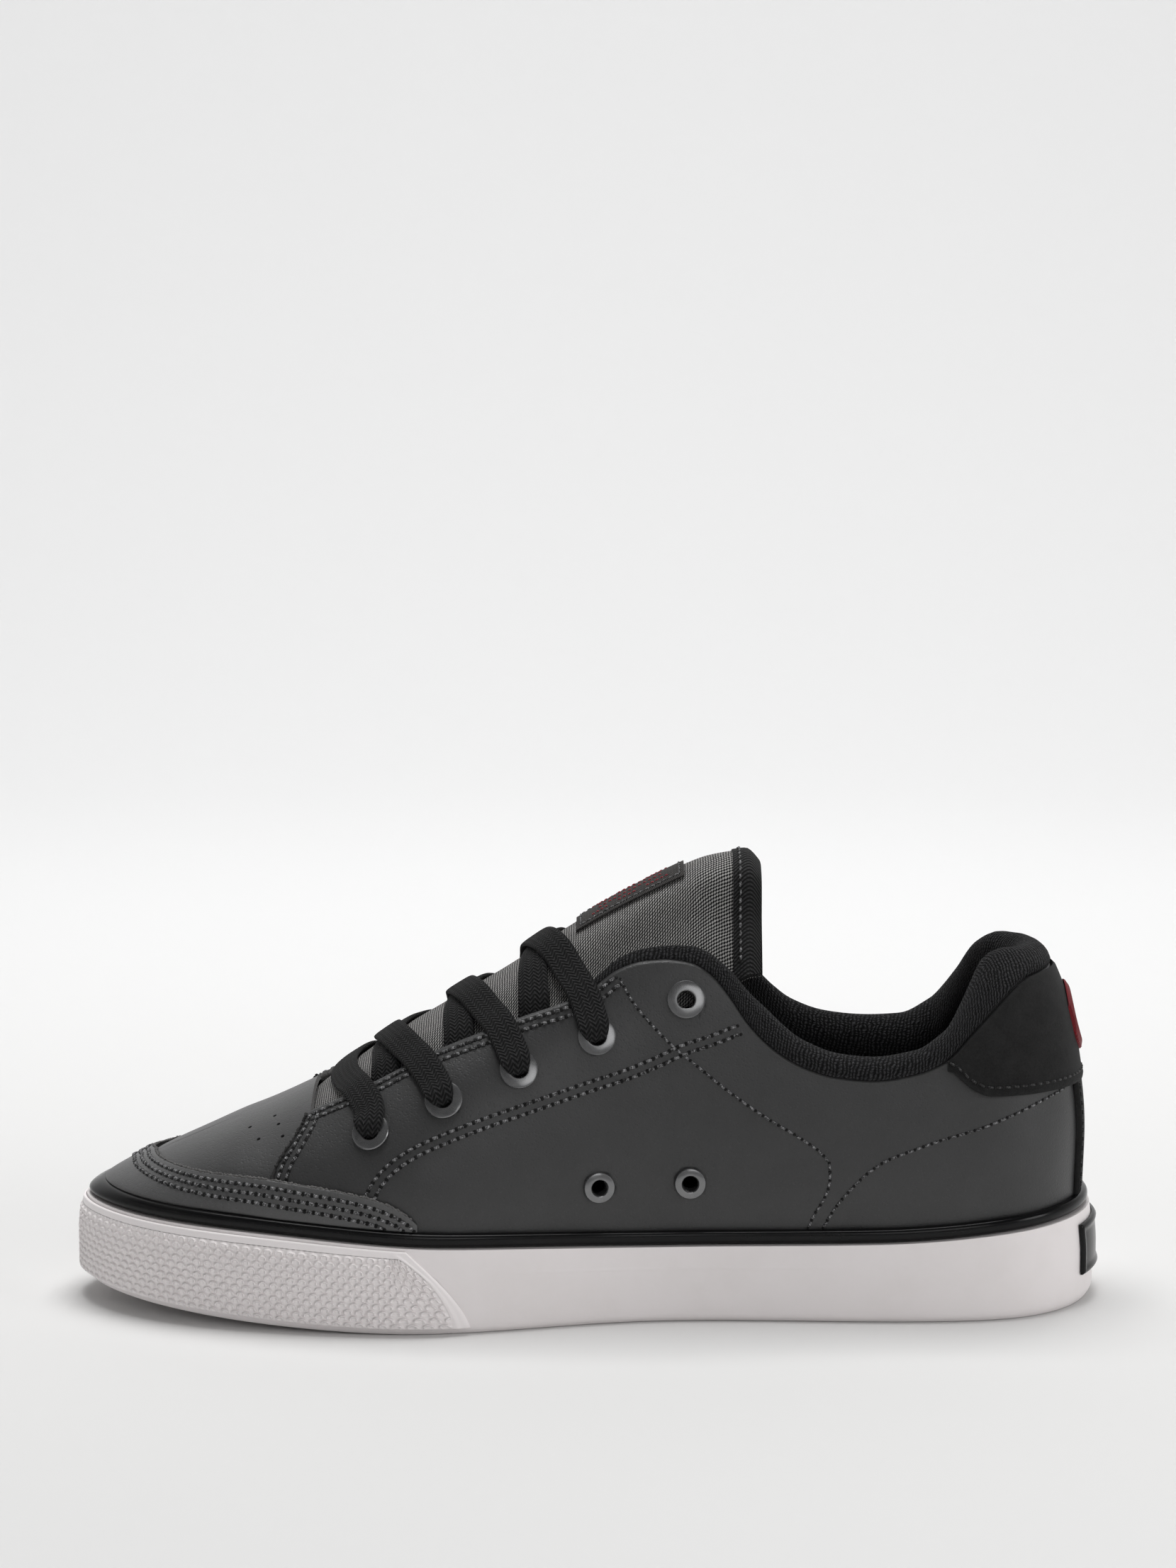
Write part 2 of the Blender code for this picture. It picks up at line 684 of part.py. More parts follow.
def make_bumper():
    """Toe bumper: a strip round the toe on the sole's wall, whose back edges slope forwards as they rise."""
    heights = (BUMPER_FOOT / SIDEWALL_HEIGHT, *WALL_SHARES[2:-1], 0.97)
    rows = []
    for side in (1, -1):
        for part in (0, 0.35, 0.7):
            row = []
            for s in heights:
                back = place(0.612) + (place(0.678) - place(0.612)) * s**1.6
                first = front_columns(0.69)[0].x
                row.append(sidewall_point(Column(back + part * (first - back), side), s))
            rows.append(row)
    middle = [[sidewall_point(c, s) for s in heights] for c in front_columns(0.69)]
    rows = rows[:3] + middle + rows[3:][::-1]
    sheet("toe_bumper", rows, "white_rubber", BUMPER_THICKNESS, start=1.4 * GAP)


def make_stripe():
    """Rubber stripe on the sole's top edge, round the foot of the upper."""
    section = ((0, 0), (0.92, 0), (1, 0.40), (0.70, 0.95), (0, 1))
    rows = []
    for column in columns():
        skin = column.skin()
        low = sidewall_top(column.at(column.reach(SOLE), 0)[0]) + GAP
        row = []
        for out, up in section:
            run = skin.up_to(lambda x: low + STRIPE_HEIGHT * up + 0 * x)
            point = skin.at(run, GAP + STRIPE_THICKNESS * out)[0]
            row.append((point[0], point[1], low + STRIPE_HEIGHT * up))
        rows.append(row)
    new_object("piping", loft("piping", rows, around=True), "black_rubber")


def make_badge():
    """Rubber plate on the sole's wall at the heel's back."""
    turn = math.asin(BADGE_WIDTH / 2 / Column(MID_PLACES[0], 1, math.pi).reach(SOLE))
    shares = [(BADGE_MIDDLE + k * BADGE_HEIGHT / 2) / (SIDEWALL_HEIGHT * SIDEWALL[0].height) for k in (-1, 0, 1)]
    rows = [[sidewall_point(Column(MID_PLACES[0], 1, math.pi + turn * t), s) for s in shares]
            for t in np.linspace(-1, 1, 9)]
    sheet("heel_badge", rows, "black_rubber", BADGE_THICKNESS, start=1.5 * GAP)


def make_insole():
    loops = []
    for up in (GAP, GAP + INSOLE_THICKNESS):
        loop = []
        for column in columns():
            distance = column.reach(FEATHER) - WALL - VAMP_STEP - 2 * GAP
            foot = column.at(distance, 0)[0]
            loop.append(column.at(distance, sole_inside(foot) + up))
        loops.append(loop)
    new_object("insole", slab("insole", loops), "black_terry")


def throat_share(side):
    """Where the throat's front corner is, as a share of the reach from the axis."""
    column = Column(place(THROAT_FRONT), side)
    skin = column.skin()
    corner = skin.at(skin.up_to(topline(side)))[0]
    return abs(corner[1] - column.axis[1]) / column.reach(FEATHER)


def upper_stations():
    """For each station round the upper: a column for each of its wall rows, whether it is vamp, and its lift.

    The quarter's front edge is a step down to the vamp. It slopes forwards, so its two stations take
    another place for each row.
    """
    found = []
    for column in columns():
        vamp = share(column.x) > THROAT_FRONT + 1e-6
        if vamp and not column.fan and column.x == VAMP_PLACES[1]:
            pair = []
            for lift, ahead in ((0.0, -0.0003), (-VAMP_STEP, 0.0003)):
                rows = []
                for k in range(WALL_ROWS + 1):
                    slope = float(smooth(QUARTER_FRONT, k / WALL_ROWS, "place"))
                    rows.append(Column(place(slope) + ahead, column.side))
                pair.append((rows, lift < 0, lift))
            found += pair if column.side > 0 else pair[::-1]
        else:
            found.append(([column] * (WALL_ROWS + 1), vamp, -VAMP_STEP if vamp else 0.0))
    return found


def upper_surface():
    """The open skin of the upper: its walls up to the cut edge all round, and the vamp over to its crown."""
    mesh = bmesh.new()
    corner = {side: throat_share(side) for side in (1, -1)}
    walls, vamps = [], []
    for station, vamp, lift in upper_stations():
        wall, skins = [], {}
        for k, column in enumerate(station):
            if column not in skins:
                skin = column.skin()
                if share(column.x) >= THROAT_FRONT - 1e-6:
                    edge = skin.within(corner[column.side] * column.reach(FEATHER))
                else:
                    edge = skin.up_to(topline(column.side))
                skins[column] = skin, edge
            skin, edge = skins[column]
            rim = skin.up_to(sidewall_top)
            run = rim + (edge - rim) * (k - 1) / (WALL_ROWS - 1) if k else 0
            wall.append(mesh.verts.new(skin.at(run, lift)[0]))
        walls.append(wall)
        vamps.append(None)
        if vamp:
            over = skin.at(np.linspace(edge, skin.length, VAMP_ROWS + 1)[1:], lift)
            vamps[-1] = wall[-1:] + [mesh.verts.new(point) for point in over]
    for rows in (walls, vamps):
        for i in range(len(rows)):
            a, b = rows[i], rows[(i + 1) % len(rows)]
            if a and b:
                for j in range(len(a) - 1):
                    mesh.faces.new((a[j], b[j], b[j + 1], a[j + 1]))
    return finished("upper", mesh, closed=False)


def skin_point(along, height, side):
    """Point and outward normal of the upper's skin at a share along and a height."""

    def point(x, z):
        skin = Column(x, side).skin()
        return skin.at(skin.up_to(lambda _: z))[0]

    x, step = place(along), 0.0015
    normal = np.cross(point(x + step, height) - point(x - step, height),
                      point(x, height + step) - point(x, height - step))
    normal /= np.linalg.norm(normal)
    return point(x, height), normal * math.copysign(1, normal[1] * side)


def eyelet_holes():
    """Every eyelet and vent: its name, centre, normal, outer radius and bore."""
    found = []
    for number, hole in enumerate(EYELETS, 1):
        for side, word in ((1, "medial"), (-1, "lateral")):
            seat = skin_point(hole.along, upper_height(hole.height), side)
            found.append((f"eyelet_{word}_{number}", *seat, EYELET_RADIUS, EYELET_BORE))
    for number, hole in enumerate(VENTS, 1):
        seat = skin_point(hole.along, upper_height(hole.height), 1)
        found.append((f"vent_{number}", *seat, VENT_RADIUS, VENT_BORE))
    return found


def turn_to(normal):
    return Vector(normal).to_track_quat("Z", "Y")


def make_upper():
    obj = new_object("upper", upper_surface(), "grey_leather")
    solidify(obj, -WALL)
    mesh = bmesh.new()
    for _, centre, normal, _, bore in eyelet_holes():
        radius = bore + EYELET_TUBE + HOLE_CLEARANCE
        made = bmesh.ops.create_cone(
            mesh, cap_ends=True, segments=EYELET_SIDES, depth=4 * WALL, radius1=radius, radius2=radius)["verts"]
        bmesh.ops.rotate(mesh, verts=made, matrix=turn_to(normal).to_matrix())
        bmesh.ops.translate(mesh, verts=made, vec=Vector(centre - normal * WALL / 2))
    cut(obj, new_cutter("eyelet_holes", finished("eyelet_holes", mesh)))


def make_eyelets():
    """Each eyelet is a flange turned about its own axis, with its tube through the upper's wall."""
    for name, centre, normal, radius, bore in eyelet_holes():
        seat = GAP + 0.0001
        section = (
            (bore, -WALL - GAP),
            (bore + 0.0004, seat + EYELET_PROUD),
            (radius - 0.0006, seat + 0.8 * EYELET_PROUD),
            (radius, seat),
            (bore + EYELET_TUBE, seat),
            (bore + EYELET_TUBE, -WALL - GAP),
        )
        turns = [2 * math.pi * k / EYELET_SIDES for k in range(EYELET_SIDES)]
        rows = [[(r * math.cos(t), r * math.sin(t), z) for r, z in section] for t in turns]
        obj = new_object(name, loft(name, rows, around=True), "grey_metal")
        obj.location = centre
        obj.rotation_mode = "QUATERNION"
        obj.rotation_quaternion = turn_to(normal)


def make_toe_guard():
    """Second layer of leather round the toe, from the stripe up to its sloping edge."""
    line = height_line(TOE_GUARD)

    def row(column, top=None):
        skin = column.skin()
        low = sidewall_top(column.at(column.reach(SOLE), 0)[0]) + STRIPE_HEIGHT + 2 * GAP + 0.0006
        start, end = skin.up_to(lambda x: low + 0 * x), skin.up_to(top or line)
        return skin.at(np.linspace(start, max(end, start + 0.0008), 4), GUARD_LIFT)

    listed = front_columns(0.672)
    rows = [row(Column(place(GUARD_BACK), 1))] + [row(c) for c in listed] + [row(Column(place(GUARD_BACK), -1))]
    sheet("toe_guard", rows, "grey_leather", OVERLAY)


def make_heel_tab():
    """Overlay at the heel's back, from its shaped lower edge up to the collar."""
    lower = height_line(HEEL_TAB)
    rows = []
    for column in rear_columns(HEEL_POLE):
        skin = column.skin()
        start, end = skin.up_to(lower), skin.up_to(topline(column.side))
        rows.append(skin.at(np.linspace(start, end - 0.0003, 4)))
    sheet("heel_tab", rows, "black_nubuck", OVERLAY)


def make_backstay():
    """Narrow strip up the heel's back, from the stripe to the heel tab."""
    turn = math.asin(BACKSTAY_WIDTH / 2 / Column(MID_PLACES[0], 1, math.pi).reach(FEATHER))
    lower = height_line(HEEL_TAB)
    rows = []
    for t in np.linspace(-1, 1, 5):
        column = Column(MID_PLACES[0], 1, math.pi + turn * t)
        skin = column.skin()
        low = sidewall_top(column.at(column.reach(SOLE), 0)[0]) + STRIPE_HEIGHT + 3 * GAP
        start = skin.up_to(lambda x: low + 0 * x)
        rows.append(skin.at(np.linspace(start, skin.up_to(lower) - 0.0010, 4)))
    sheet("backstay", rows, "black_nubuck", 0.7 * OVERLAY, start=1.5 * GAP)


def make_patch():
    """Plain embroidered patch with cut corners on the heel tab."""
    turn = math.asin(PATCH_WIDTH / 2 / Column(MID_PLACES[0], 1, math.pi).reach(FEATHER))
    rows = []
    for t in np.linspace(-1, 1, 5):
        skin = Column(MID_PLACES[0], 1, math.pi + turn * t).skin()
        half = PATCH_HEIGHT / 2 * (1 - 0.45 * max(0, abs(t) - 0.5) / 0.5)
        start, end = (skin.up_to(lambda x, z=PATCH_MIDDLE + k * half: z + 0 * x) for k in (-1, 1))
        rows.append(skin.at(np.linspace(start, end, 4), OVERLAY + GAP))
    sheet("heel_patch", rows, "red_thread", PATCH_THICKNESS)


def tongue_crown(along):
    return smooth(TONGUE, along, "crown")


def tongue_side(along, side, across):
    """Points on the tongue's face and its inward normals, for shares of its half width across."""
    row = {name: float(smooth(TONGUE, along, name)) for name in ("crown", "ridge", "inset", "spread")}
    column = Column(place(along), side)
    skin = column.skin(crown=tongue_crown)
    reach = column.reach(FEATHER)
    runs = np.array([skin.within(a * row["spread"] * reach) for a in across])
    runs = np.where(np.array(across) < 1e-9, skin.length, runs)
    flat = np.array(across) * row["spread"]
    blend = np.clip((flat - 0.30) / 0.28, 0, 1)
    blend = blend * blend * (3 - 2 * blend)
    sink = 0.001 * (row["ridge"] + (row["inset"] - row["ridge"]) * blend)
    return skin, runs, sink


def make_tongue():
    """Padded tongue: closed sections across it, thinner at their sides."""
    across = (1, 0.82, 0.62, 0.42, 0.20)
    rows = []
    for along in TONGUE_PLACES:
        step = 0.004
        climb = (tongue_crown(along + step) - tongue_crown(along - step)) * INSTEP_RISE / (2 * step * LENGTH)
        full = TONGUE_THICKNESS * float(smooth(TONGUE, along, "thickness")) * math.hypot(1, climb)
        outer, inner = [], []
        for side, order in ((1, across + (0,)), (-1, across[::-1])):
            skin, runs, sink = tongue_side(along, side, order)
            thick = full * (1 - 0.72 * np.array(order) ** 3)
            outer += list(skin.at(runs, -sink))
            inner += list(skin.at(runs, -sink - thick))
        rows.append(outer + inner[::-1])
    new_object("tongue", loft("tongue", rows), "grey_canvas")


def make_label():
    """Woven label on the tongue's crown."""
    rows = []
    for along in np.linspace(*LABEL_ENDS, 5):
        row = []
        reach = Column(place(along), 1).reach(FEATHER)
        for side, order in ((1, (1, 0.5, 0)), (-1, (0.5, 1))):
            spread = float(smooth(TONGUE, along, "spread"))
            shares = [a * LABEL_WIDTH / 2 / (reach * spread) for a in order]
            skin, runs, sink = tongue_side(along, side, shares)
            row += list(skin.at(runs, -sink))
        rows.append(row)
    sheet("tongue_label", rows, "black_lace", LABEL_THICKNESS, start=GAP + 0.0002)


def make_collar():
    """Padded roll that sits on the upper's edge and hangs down inside it."""
    section = (
        # Share of the rise above the edge or of the depth below it, and share of the pad inwards
        (0.00, -0.02), (0.45, -0.11), (0.88, 0.12), (1.00, 0.50), (0.72, 0.92),
        (-0.25, 1.00), (-0.70, 0.62), (-1.00, 0.12),
    )
    rows = []
    for column in rear_columns(COLLAR_FRONT):
        skin = column.skin()
        edge = skin.up_to(topline(column.side))
        along = share(skin.at(edge)[0][0])
        rise = COLLAR_RISE * float(smooth(COLLAR, along, "rise"))
        pad = COLLAR_PAD * float(smooth(COLLAR, along, "pad"))
        depth = COLLAR_DEPTH * float(smooth(COLLAR, along, "depth"))
        row = []
        for up, inward in section:
            run = edge + 2 * GAP + rise * up if up >= 0 else edge + depth * up
            lift = -pad * inward if up >= 0 else -WALL - 2 * GAP - pad * inward
            row.append(skin.at(run, lift)[0])
        row.append(skin.at(edge - 0.5 * depth, -WALL - 2 * GAP)[0])
        row.append(skin.at(edge + 2 * GAP, -WALL - 2 * GAP)[0])
        rows.append(row)
    new_object("collar", loft("collar", rows), "black_terry")


def cover(x, y):
    """Height of what the lace lies on: the tongue, and the eyestays where it is past their edges."""
    side = 1 if y > axis_offset(x) else -1
    column = Column(x, side)
    distance = abs(y - column.axis[1])
    skin = column.skin()
    edge = skin.at(skin.up_to(topline(side)))[0]
    on_upper = distance >= abs(edge[1] - column.axis[1]) - 0.001
    if on_upper:
        return float(skin.at(skin.within(distance))[0][2])
    reach = column.reach(FEATHER)
    spread = float(smooth(TONGUE, share(x), "spread"))
    tongue, runs, sink = tongue_side(share(x), side, [distance / (reach * spread)])
    return float(tongue.at(runs, -sink)[0][2])


def taut(points):
    """The points of a line raised to the shape of a cord that is pulled over them."""
    run = np.concatenate([[0], np.cumsum(np.linalg.norm(np.diff(points[:, :2], axis=0), axis=1))])
    hull = [0]
    for i in range(1, len(run)):
        while len(hull) > 1:
            a, b = hull[-2], hull[-1]
            if (points[b, 2] - points[a, 2]) * (run[i] - run[a]) > (points[i, 2] - points[a, 2]) * (run[b] - run[a]):
                break
            hull.pop()
        hull.append(i)
    return np.interp(run, run[hull], points[hull, 2])


def strap(name, start, end, bow, lift):
    """A flat length of lace pulled over the tongue from one side's eyestay to the other's.

    Seen from above it bows forwards, because it lies square to the sloping instep.
    """
    t = np.linspace(0, 1, 6 * LACE_STATIONS + 1)
    plan = start + np.outer(t, end - start) + np.outer(4 * t * (1 - t), (bow, 0))
    line = np.array([(x, y, cover(x, y)) for x, y in plan])
    line[:, 2] = taut(line)
    line = line[::6]
    tangent = np.gradient(line, axis=0)
    tangent /= np.linalg.norm(tangent, axis=1)[:, None]
    rows = []
    step = 0.003
    for point, way in zip(line, tangent):
        x, y = point[:2]
        slope_x = (cover(x + step, y) - cover(x - step, y)) / (2 * step)
        across = np.array([1.0, 0.0, slope_x])
        across -= way * across.dot(way)
        across /= np.linalg.norm(across)
        up = np.cross(way, across)
        up *= math.copysign(1, up[2])
        half, thick = LACE_WIDTH / 2, LACE_THICKNESS / 2
        centre = point + up * (LACE_CLEARANCE + lift + thick)
        section = ((-1, 0), (-0.75, -1), (0.75, -1), (1, 0), (0.75, 1), (-0.75, 1))
        rows.append([centre + across * half * a + up * thick * b for a, b in section])
    return loft(name, rows)


def make_laces():
    """A straight bar at the lowest eyelets, then crossings: each joins two lengths of lace."""
    seats = {name: centre for name, centre, _, _, _ in eyelet_holes()}

    def beside(number, side, inward):
        word = "medial" if side > 0 else "lateral"
        centre = seats[f"eyelet_{word}_{number}"]
        return np.array([centre[0], centre[1] - side * inward])

    short = EYELET_RADIUS - 0.0005
    bar = strap("lace_bar_1", beside(1, 1, short), beside(1, -1, short), BAR_BOW, 0.0)
    new_object("lace_bar_1", bar, "black_lace")
    for number in (2, 3, 4):
        name = f"lace_cross_{number}"
        under = strap(name, hidden_end(number, 1), beside(number, -1, short), CROSS_BOW, 0.0)
        ends = hidden_end(number, -1), beside(number, 1, short)
        over = strap(f"{name}_over", *ends, CROSS_BOW, 0.6 * LACE_THICKNESS)
        obj = new_object(name, under, "black_lace")
        cut(obj, new_cutter(f"{name}_over", over), "UNION")


def hidden_end(number, side):
    """Where a lace comes out from under an eyestay, ahead of the eyelet that it goes to on the other side."""
    x = place(EYELETS[number - 1].along + HIDDEN_SHARE * (EYELETS[number - 2].along - EYELETS[number - 1].along))
    skin = Column(x, side).skin()
    edge = skin.at(skin.up_to(topline(side)))[0]
    return np.array([x, edge[1] - side * 0.0055])


def main():
    for obj in list(bpy.data.objects):
        bpy.data.objects.remove(obj, do_unlink=True)
    make_cupsole()
    make_bumper()
    make_stripe()
    make_badge()
    make_insole()
    make_upper()
    make_toe_guard()
    make_heel_tab()
    make_backstay()
    make_patch()
    make_collar()
    make_tongue()
    make_label()
    make_eyelets()
    make_laces()


main()
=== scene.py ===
"""Looks of a low skateboarding shoe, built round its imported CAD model.

Metres, in the CAD frame: +X to the toe, +Y to the medial side, +Z up. The tables and the last's columns
are the CAD source's own, so each detailed piece lies where its CAD node lies.
"""

import math
from collections import namedtuple
from functools import cached_property, lru_cache

import bmesh
import bpy
import numpy as np
from mathutils import Matrix, Vector
from mathutils.bvhtree import BVHTree


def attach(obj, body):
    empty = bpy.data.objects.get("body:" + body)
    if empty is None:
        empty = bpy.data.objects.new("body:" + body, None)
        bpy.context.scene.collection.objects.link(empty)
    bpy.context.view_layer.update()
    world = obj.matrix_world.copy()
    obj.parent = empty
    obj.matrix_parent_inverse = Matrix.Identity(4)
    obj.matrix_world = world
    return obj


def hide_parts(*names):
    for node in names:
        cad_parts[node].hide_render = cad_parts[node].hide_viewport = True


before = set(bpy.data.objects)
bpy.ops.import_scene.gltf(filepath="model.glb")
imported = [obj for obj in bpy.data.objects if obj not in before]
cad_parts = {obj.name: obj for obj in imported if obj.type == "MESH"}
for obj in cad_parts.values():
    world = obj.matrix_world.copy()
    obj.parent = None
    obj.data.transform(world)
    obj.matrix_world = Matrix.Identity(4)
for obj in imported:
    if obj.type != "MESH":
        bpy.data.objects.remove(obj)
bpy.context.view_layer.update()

# Sizes of the sole
LENGTH = 0.2955
BALL_WIDTH = 0.108
SIDEWALL_HEIGHT = 0.022
SIDEWALL_THICKNESS = 0.0045
SOLE_FLOOR = 0.008
TOE_SPRING = 0.006
SOLE_EDGE_TUCK = 0.0017
SOLE_TOP_TUCK = 0.0012
BUMPER_THICKNESS = 0.0005
BUMPER_FOOT = 0.0016
STRIPE_HEIGHT = 0.0040
STRIPE_THICKNESS = 0.0024
BADGE_WIDTH = 0.040
BADGE_HEIGHT = 0.0150
BADGE_THICKNESS = 0.0008
BADGE_MIDDLE = 0.0165
GROOVE_WIDTH = 0.0022
GROOVE_DEPTH = 0.0016
GROOVE_PITCH = 0.0110
GROOVE_MARGIN = 0.0100

# Sizes of the upper and what is inside it
INSTEP_RISE = 0.100
WALL = 0.0022
BULGE = 0.0020
GAP = 0.0003
INSOLE_THICKNESS = 0.0050
OVERLAY = 0.0012
VAMP_STEP = 0.0008
BACKSTAY_WIDTH = 0.026
TONGUE_THICKNESS = 0.0065
LABEL_WIDTH = 0.0155
LABEL_THICKNESS = 0.0007
PATCH_WIDTH = 0.0180
PATCH_HEIGHT = 0.0200
PATCH_MIDDLE = 0.0815
PATCH_THICKNESS = 0.0010
COLLAR_PAD = 0.0090
COLLAR_RISE = 0.0070
COLLAR_DEPTH = 0.0300

# Sizes of the eyelets and the lace
EYELET_RADIUS = 0.0055
EYELET_BORE = 0.0025
EYELET_TUBE = 0.0005
VENT_RADIUS = 0.0045
VENT_BORE = 0.0022
LACE_WIDTH = 0.0088
LACE_THICKNESS = 0.0019
BAR_BOW = 0.0090
CROSS_BOW = 0.0050
HIDDEN_SHARE = 0.80

# Places along the shoe, as shares of LENGTH from the back of the heel
HEEL_CENTRE = 0.147
HEEL_POLE = 0.154
TOE_POLE = 0.840
THROAT_FRONT = 0.770
COLLAR_FRONT = 0.505
GUARD_BACK = 0.664
BUMPER_BACK = 0.612
BUMPER_TOP_BACK = 0.678
BAND_START = 0.69
QUARTER_END = 0.70
TONGUE_TOP = 0.333
TONGUE_END = 0.812
LABEL_ENDS = (0.407, 0.512)
POLE_OFFSET = 0.020

# The bumper's horseshoes: their pitch along and up, and the sole's groove as a share of its height
SHOE_PITCH = 0.0033
SHOE_ROW = 0.0019
SOLE_GROOVE = 0.72

# The leather's unevenness, the seams' threads, and how far the double and triple rows are from their edges
RIPPLE = 0.00022
THREAD_RADIUS = 0.00040
STAY_THREAD = 0.00038
FINE_THREAD = 0.0003
SIDE_THREAD = 0.00029
LABEL_THREAD = 0.00020
STITCH_PITCH = 0.0026
EDGE_ROWS = (0.0017, 0.0042)
GUARD_ROWS = (0.0023, 0.0046, 0.0069)


def table(columns, *rows):
    """Rows of numbers under named columns."""
    return tuple(map(namedtuple("Row", columns)._make, rows))


# The sole's outline: share of LENGTH, share of BALL_WIDTH from the long axis, medial side positive
OUTLINE = table(
    "along across",
    (0.000, 0.000), (0.020, 0.185), (0.072, 0.312), (0.150, 0.360), (0.250, 0.362), (0.360, 0.350),
    (0.460, 0.365), (0.560, 0.430), (0.650, 0.480), (0.740, 0.474), (0.830, 0.425), (0.905, 0.345),
    (0.963, 0.228), (1.000, 0.030), (0.982, -0.125), (0.925, -0.290), (0.845, -0.412), (0.740, -0.492),
    (0.640, -0.512), (0.520, -0.478), (0.400, -0.423), (0.280, -0.385), (0.150, -0.366), (0.072, -0.315),
    (0.020, -0.185),
)
# Height of the sole's wall over its bottom edge, in shares of SIDEWALL_HEIGHT
SIDEWALL = table(
    "along height",
    (0.00, 1.23), (0.08, 1.15), (0.22, 1.03), (0.42, 0.99), (0.62, 1.10), (0.80, 1.19), (1.00, 1.09),
)
# The last. Heights are shares of INSTEP_RISE over SIDEWALL_HEIGHT: where it is widest, and its crown.
# side and top are the exponents of the arch between them, and bulge is a share of BULGE.
SECTIONS = table(
    "along widest crown side top bulge",
    (0.000, 0.23, 1.080, 2.0, 2.0, 0.20),
    (0.100, 0.23, 0.990, 2.0, 2.0, 0.30),
    (0.200, 0.21, 0.910, 2.0, 2.0, 0.50),
    (0.300, 0.20, 0.955, 2.0, 2.0, 0.90),
    (0.400, 0.18, 1.035, 2.0, 2.0, 1.00),
    (0.510, 0.15, 0.872, 2.0, 2.1, 0.70),
    (0.580, 0.13, 0.747, 2.0, 2.1, 0.40),
    (0.640, 0.11, 0.637, 2.1, 2.1, 0.20),
    (0.700, 0.10, 0.525, 2.1, 2.1, 0.10),
    (0.772, 0.09, 0.400, 2.2, 2.1, 0.10),
    (0.840, 0.09, 0.312, 2.3, 2.1, 0.10),
    (0.907, 0.09, 0.240, 2.4, 2.1, 0.10),
    (0.940, 0.09, 0.208, 2.4, 2.1, 0.10),
    (1.000, 0.09, 0.158, 2.4, 2.1, 0.10),
)
# Cut edge of the upper at the collar and the throat: shares of INSTEP_RISE over SIDEWALL_HEIGHT
TOPLINE = table(
    "along medial lateral",
    (0.020, 0.755, 0.755), (0.054, 0.753, 0.752), (0.074, 0.745, 0.735), (0.091, 0.715, 0.690),
    (0.109, 0.665, 0.635), (0.130, 0.603, 0.572), (0.157, 0.525, 0.505), (0.188, 0.490, 0.475),
    (0.225, 0.474, 0.468), (0.262, 0.484, 0.478), (0.290, 0.508, 0.500), (0.313, 0.543, 0.535),
    (0.330, 0.582, 0.577), (0.347, 0.635, 0.632), (0.364, 0.707, 0.705), (0.381, 0.765, 0.763),
    (0.401, 0.800, 0.800), (0.425, 0.809, 0.809), (0.449, 0.802, 0.802), (0.473, 0.777, 0.777),
    (0.502, 0.716, 0.716), (0.568, 0.644, 0.644), (0.648, 0.548, 0.548), (0.725, 0.429, 0.429),
    (0.770, 0.366, 0.366),
)
# Upper edge of the toe guard: shares of INSTEP_RISE over SIDEWALL_HEIGHT
TOE_GUARD = table(
    "along height",
    (0.640, 0.020), (0.656, 0.066), (0.668, 0.105), (0.684, 0.138), (0.711, 0.167), (0.765, 0.191),
    (0.832, 0.203), (0.904, 0.202), (0.980, 0.195),
)
# The quarter's front edge: share of the way up to the throat's corner, and share of LENGTH
QUARTER_FRONT = table(
    "along place",
    (0.00, 0.806), (0.45, 0.805), (0.60, 0.800), (0.75, 0.788), (0.90, 0.777), (1.00, 0.773),
)
# Lower edge of the heel tab: shares of INSTEP_RISE over SIDEWALL_HEIGHT
HEEL_TAB = table(
    "along height",
    (0.000, 0.420), (0.045, 0.425), (0.090, 0.426), (0.115, 0.428), (0.130, 0.447), (0.150, 0.500),
)
# The tongue's crown as a share of INSTEP_RISE over SIDEWALL_HEIGHT, how many millimetres its middle and
# its sides are inside that, its half width as a share of the last's reach, and shares of TONGUE_THICKNESS
TONGUE = table(
    "along crown ridge inset spread thickness",
    (0.333, 1.066, 0.0, 7.0, 0.78, 0.85),
    (0.346, 1.084, 0.0, 7.0, 0.80, 1.05),
    (0.364, 1.077, 0.0, 7.6, 0.82, 1.10),
    (0.385, 1.064, 0.0, 6.8, 0.84, 1.10),
    (0.402, 1.045, 0.0, 6.0, 0.85, 1.10),
    (0.440, 0.990, 0.0, 5.2, 0.85, 1.05),
    (0.477, 0.931, 0.0, 4.9, 0.85, 1.00),
    (0.512, 0.868, 0.0, 3.6, 0.85, 0.95),
    (0.584, 0.728, 0.0, 3.2, 0.84, 0.85),
    (0.659, 0.594, 0.0, 3.2, 0.82, 0.75),
    (0.700, 0.520, 0.2, 3.2, 0.80, 0.65),
    (0.731, 0.460, 0.9, 3.2, 0.76, 0.58),
    (0.760, 0.416, 2.6, 3.5, 0.72, 0.50),
    (0.775, 0.394, 4.0, 4.0, 0.70, 0.46),
    (0.812, 0.345, 4.4, 4.4, 0.64, 0.40),
)
# The padded roll on the edge: shares of COLLAR_RISE, COLLAR_PAD and COLLAR_DEPTH
COLLAR = table(
    "along rise pad depth",
    (0.000, 1.15, 1.00, 1.00), (0.060, 1.40, 1.00, 1.00), (0.103, 2.00, 1.05, 1.00),
    (0.127, 1.70, 1.05, 0.95), (0.160, 1.25, 1.00, 0.85), (0.184, 1.00, 0.95, 0.80),
    (0.250, 1.00, 0.85, 0.75), (0.295, 1.15, 0.80, 0.70), (0.330, 1.45, 0.60, 0.60),
    (0.350, 1.35, 0.48, 0.48), (0.377, 0.95, 0.34, 0.30), (0.420, 0.62, 0.22, 0.16),
    (0.471, 0.48, 0.18, 0.13), (0.505, 0.28, 0.15, 0.11),
)
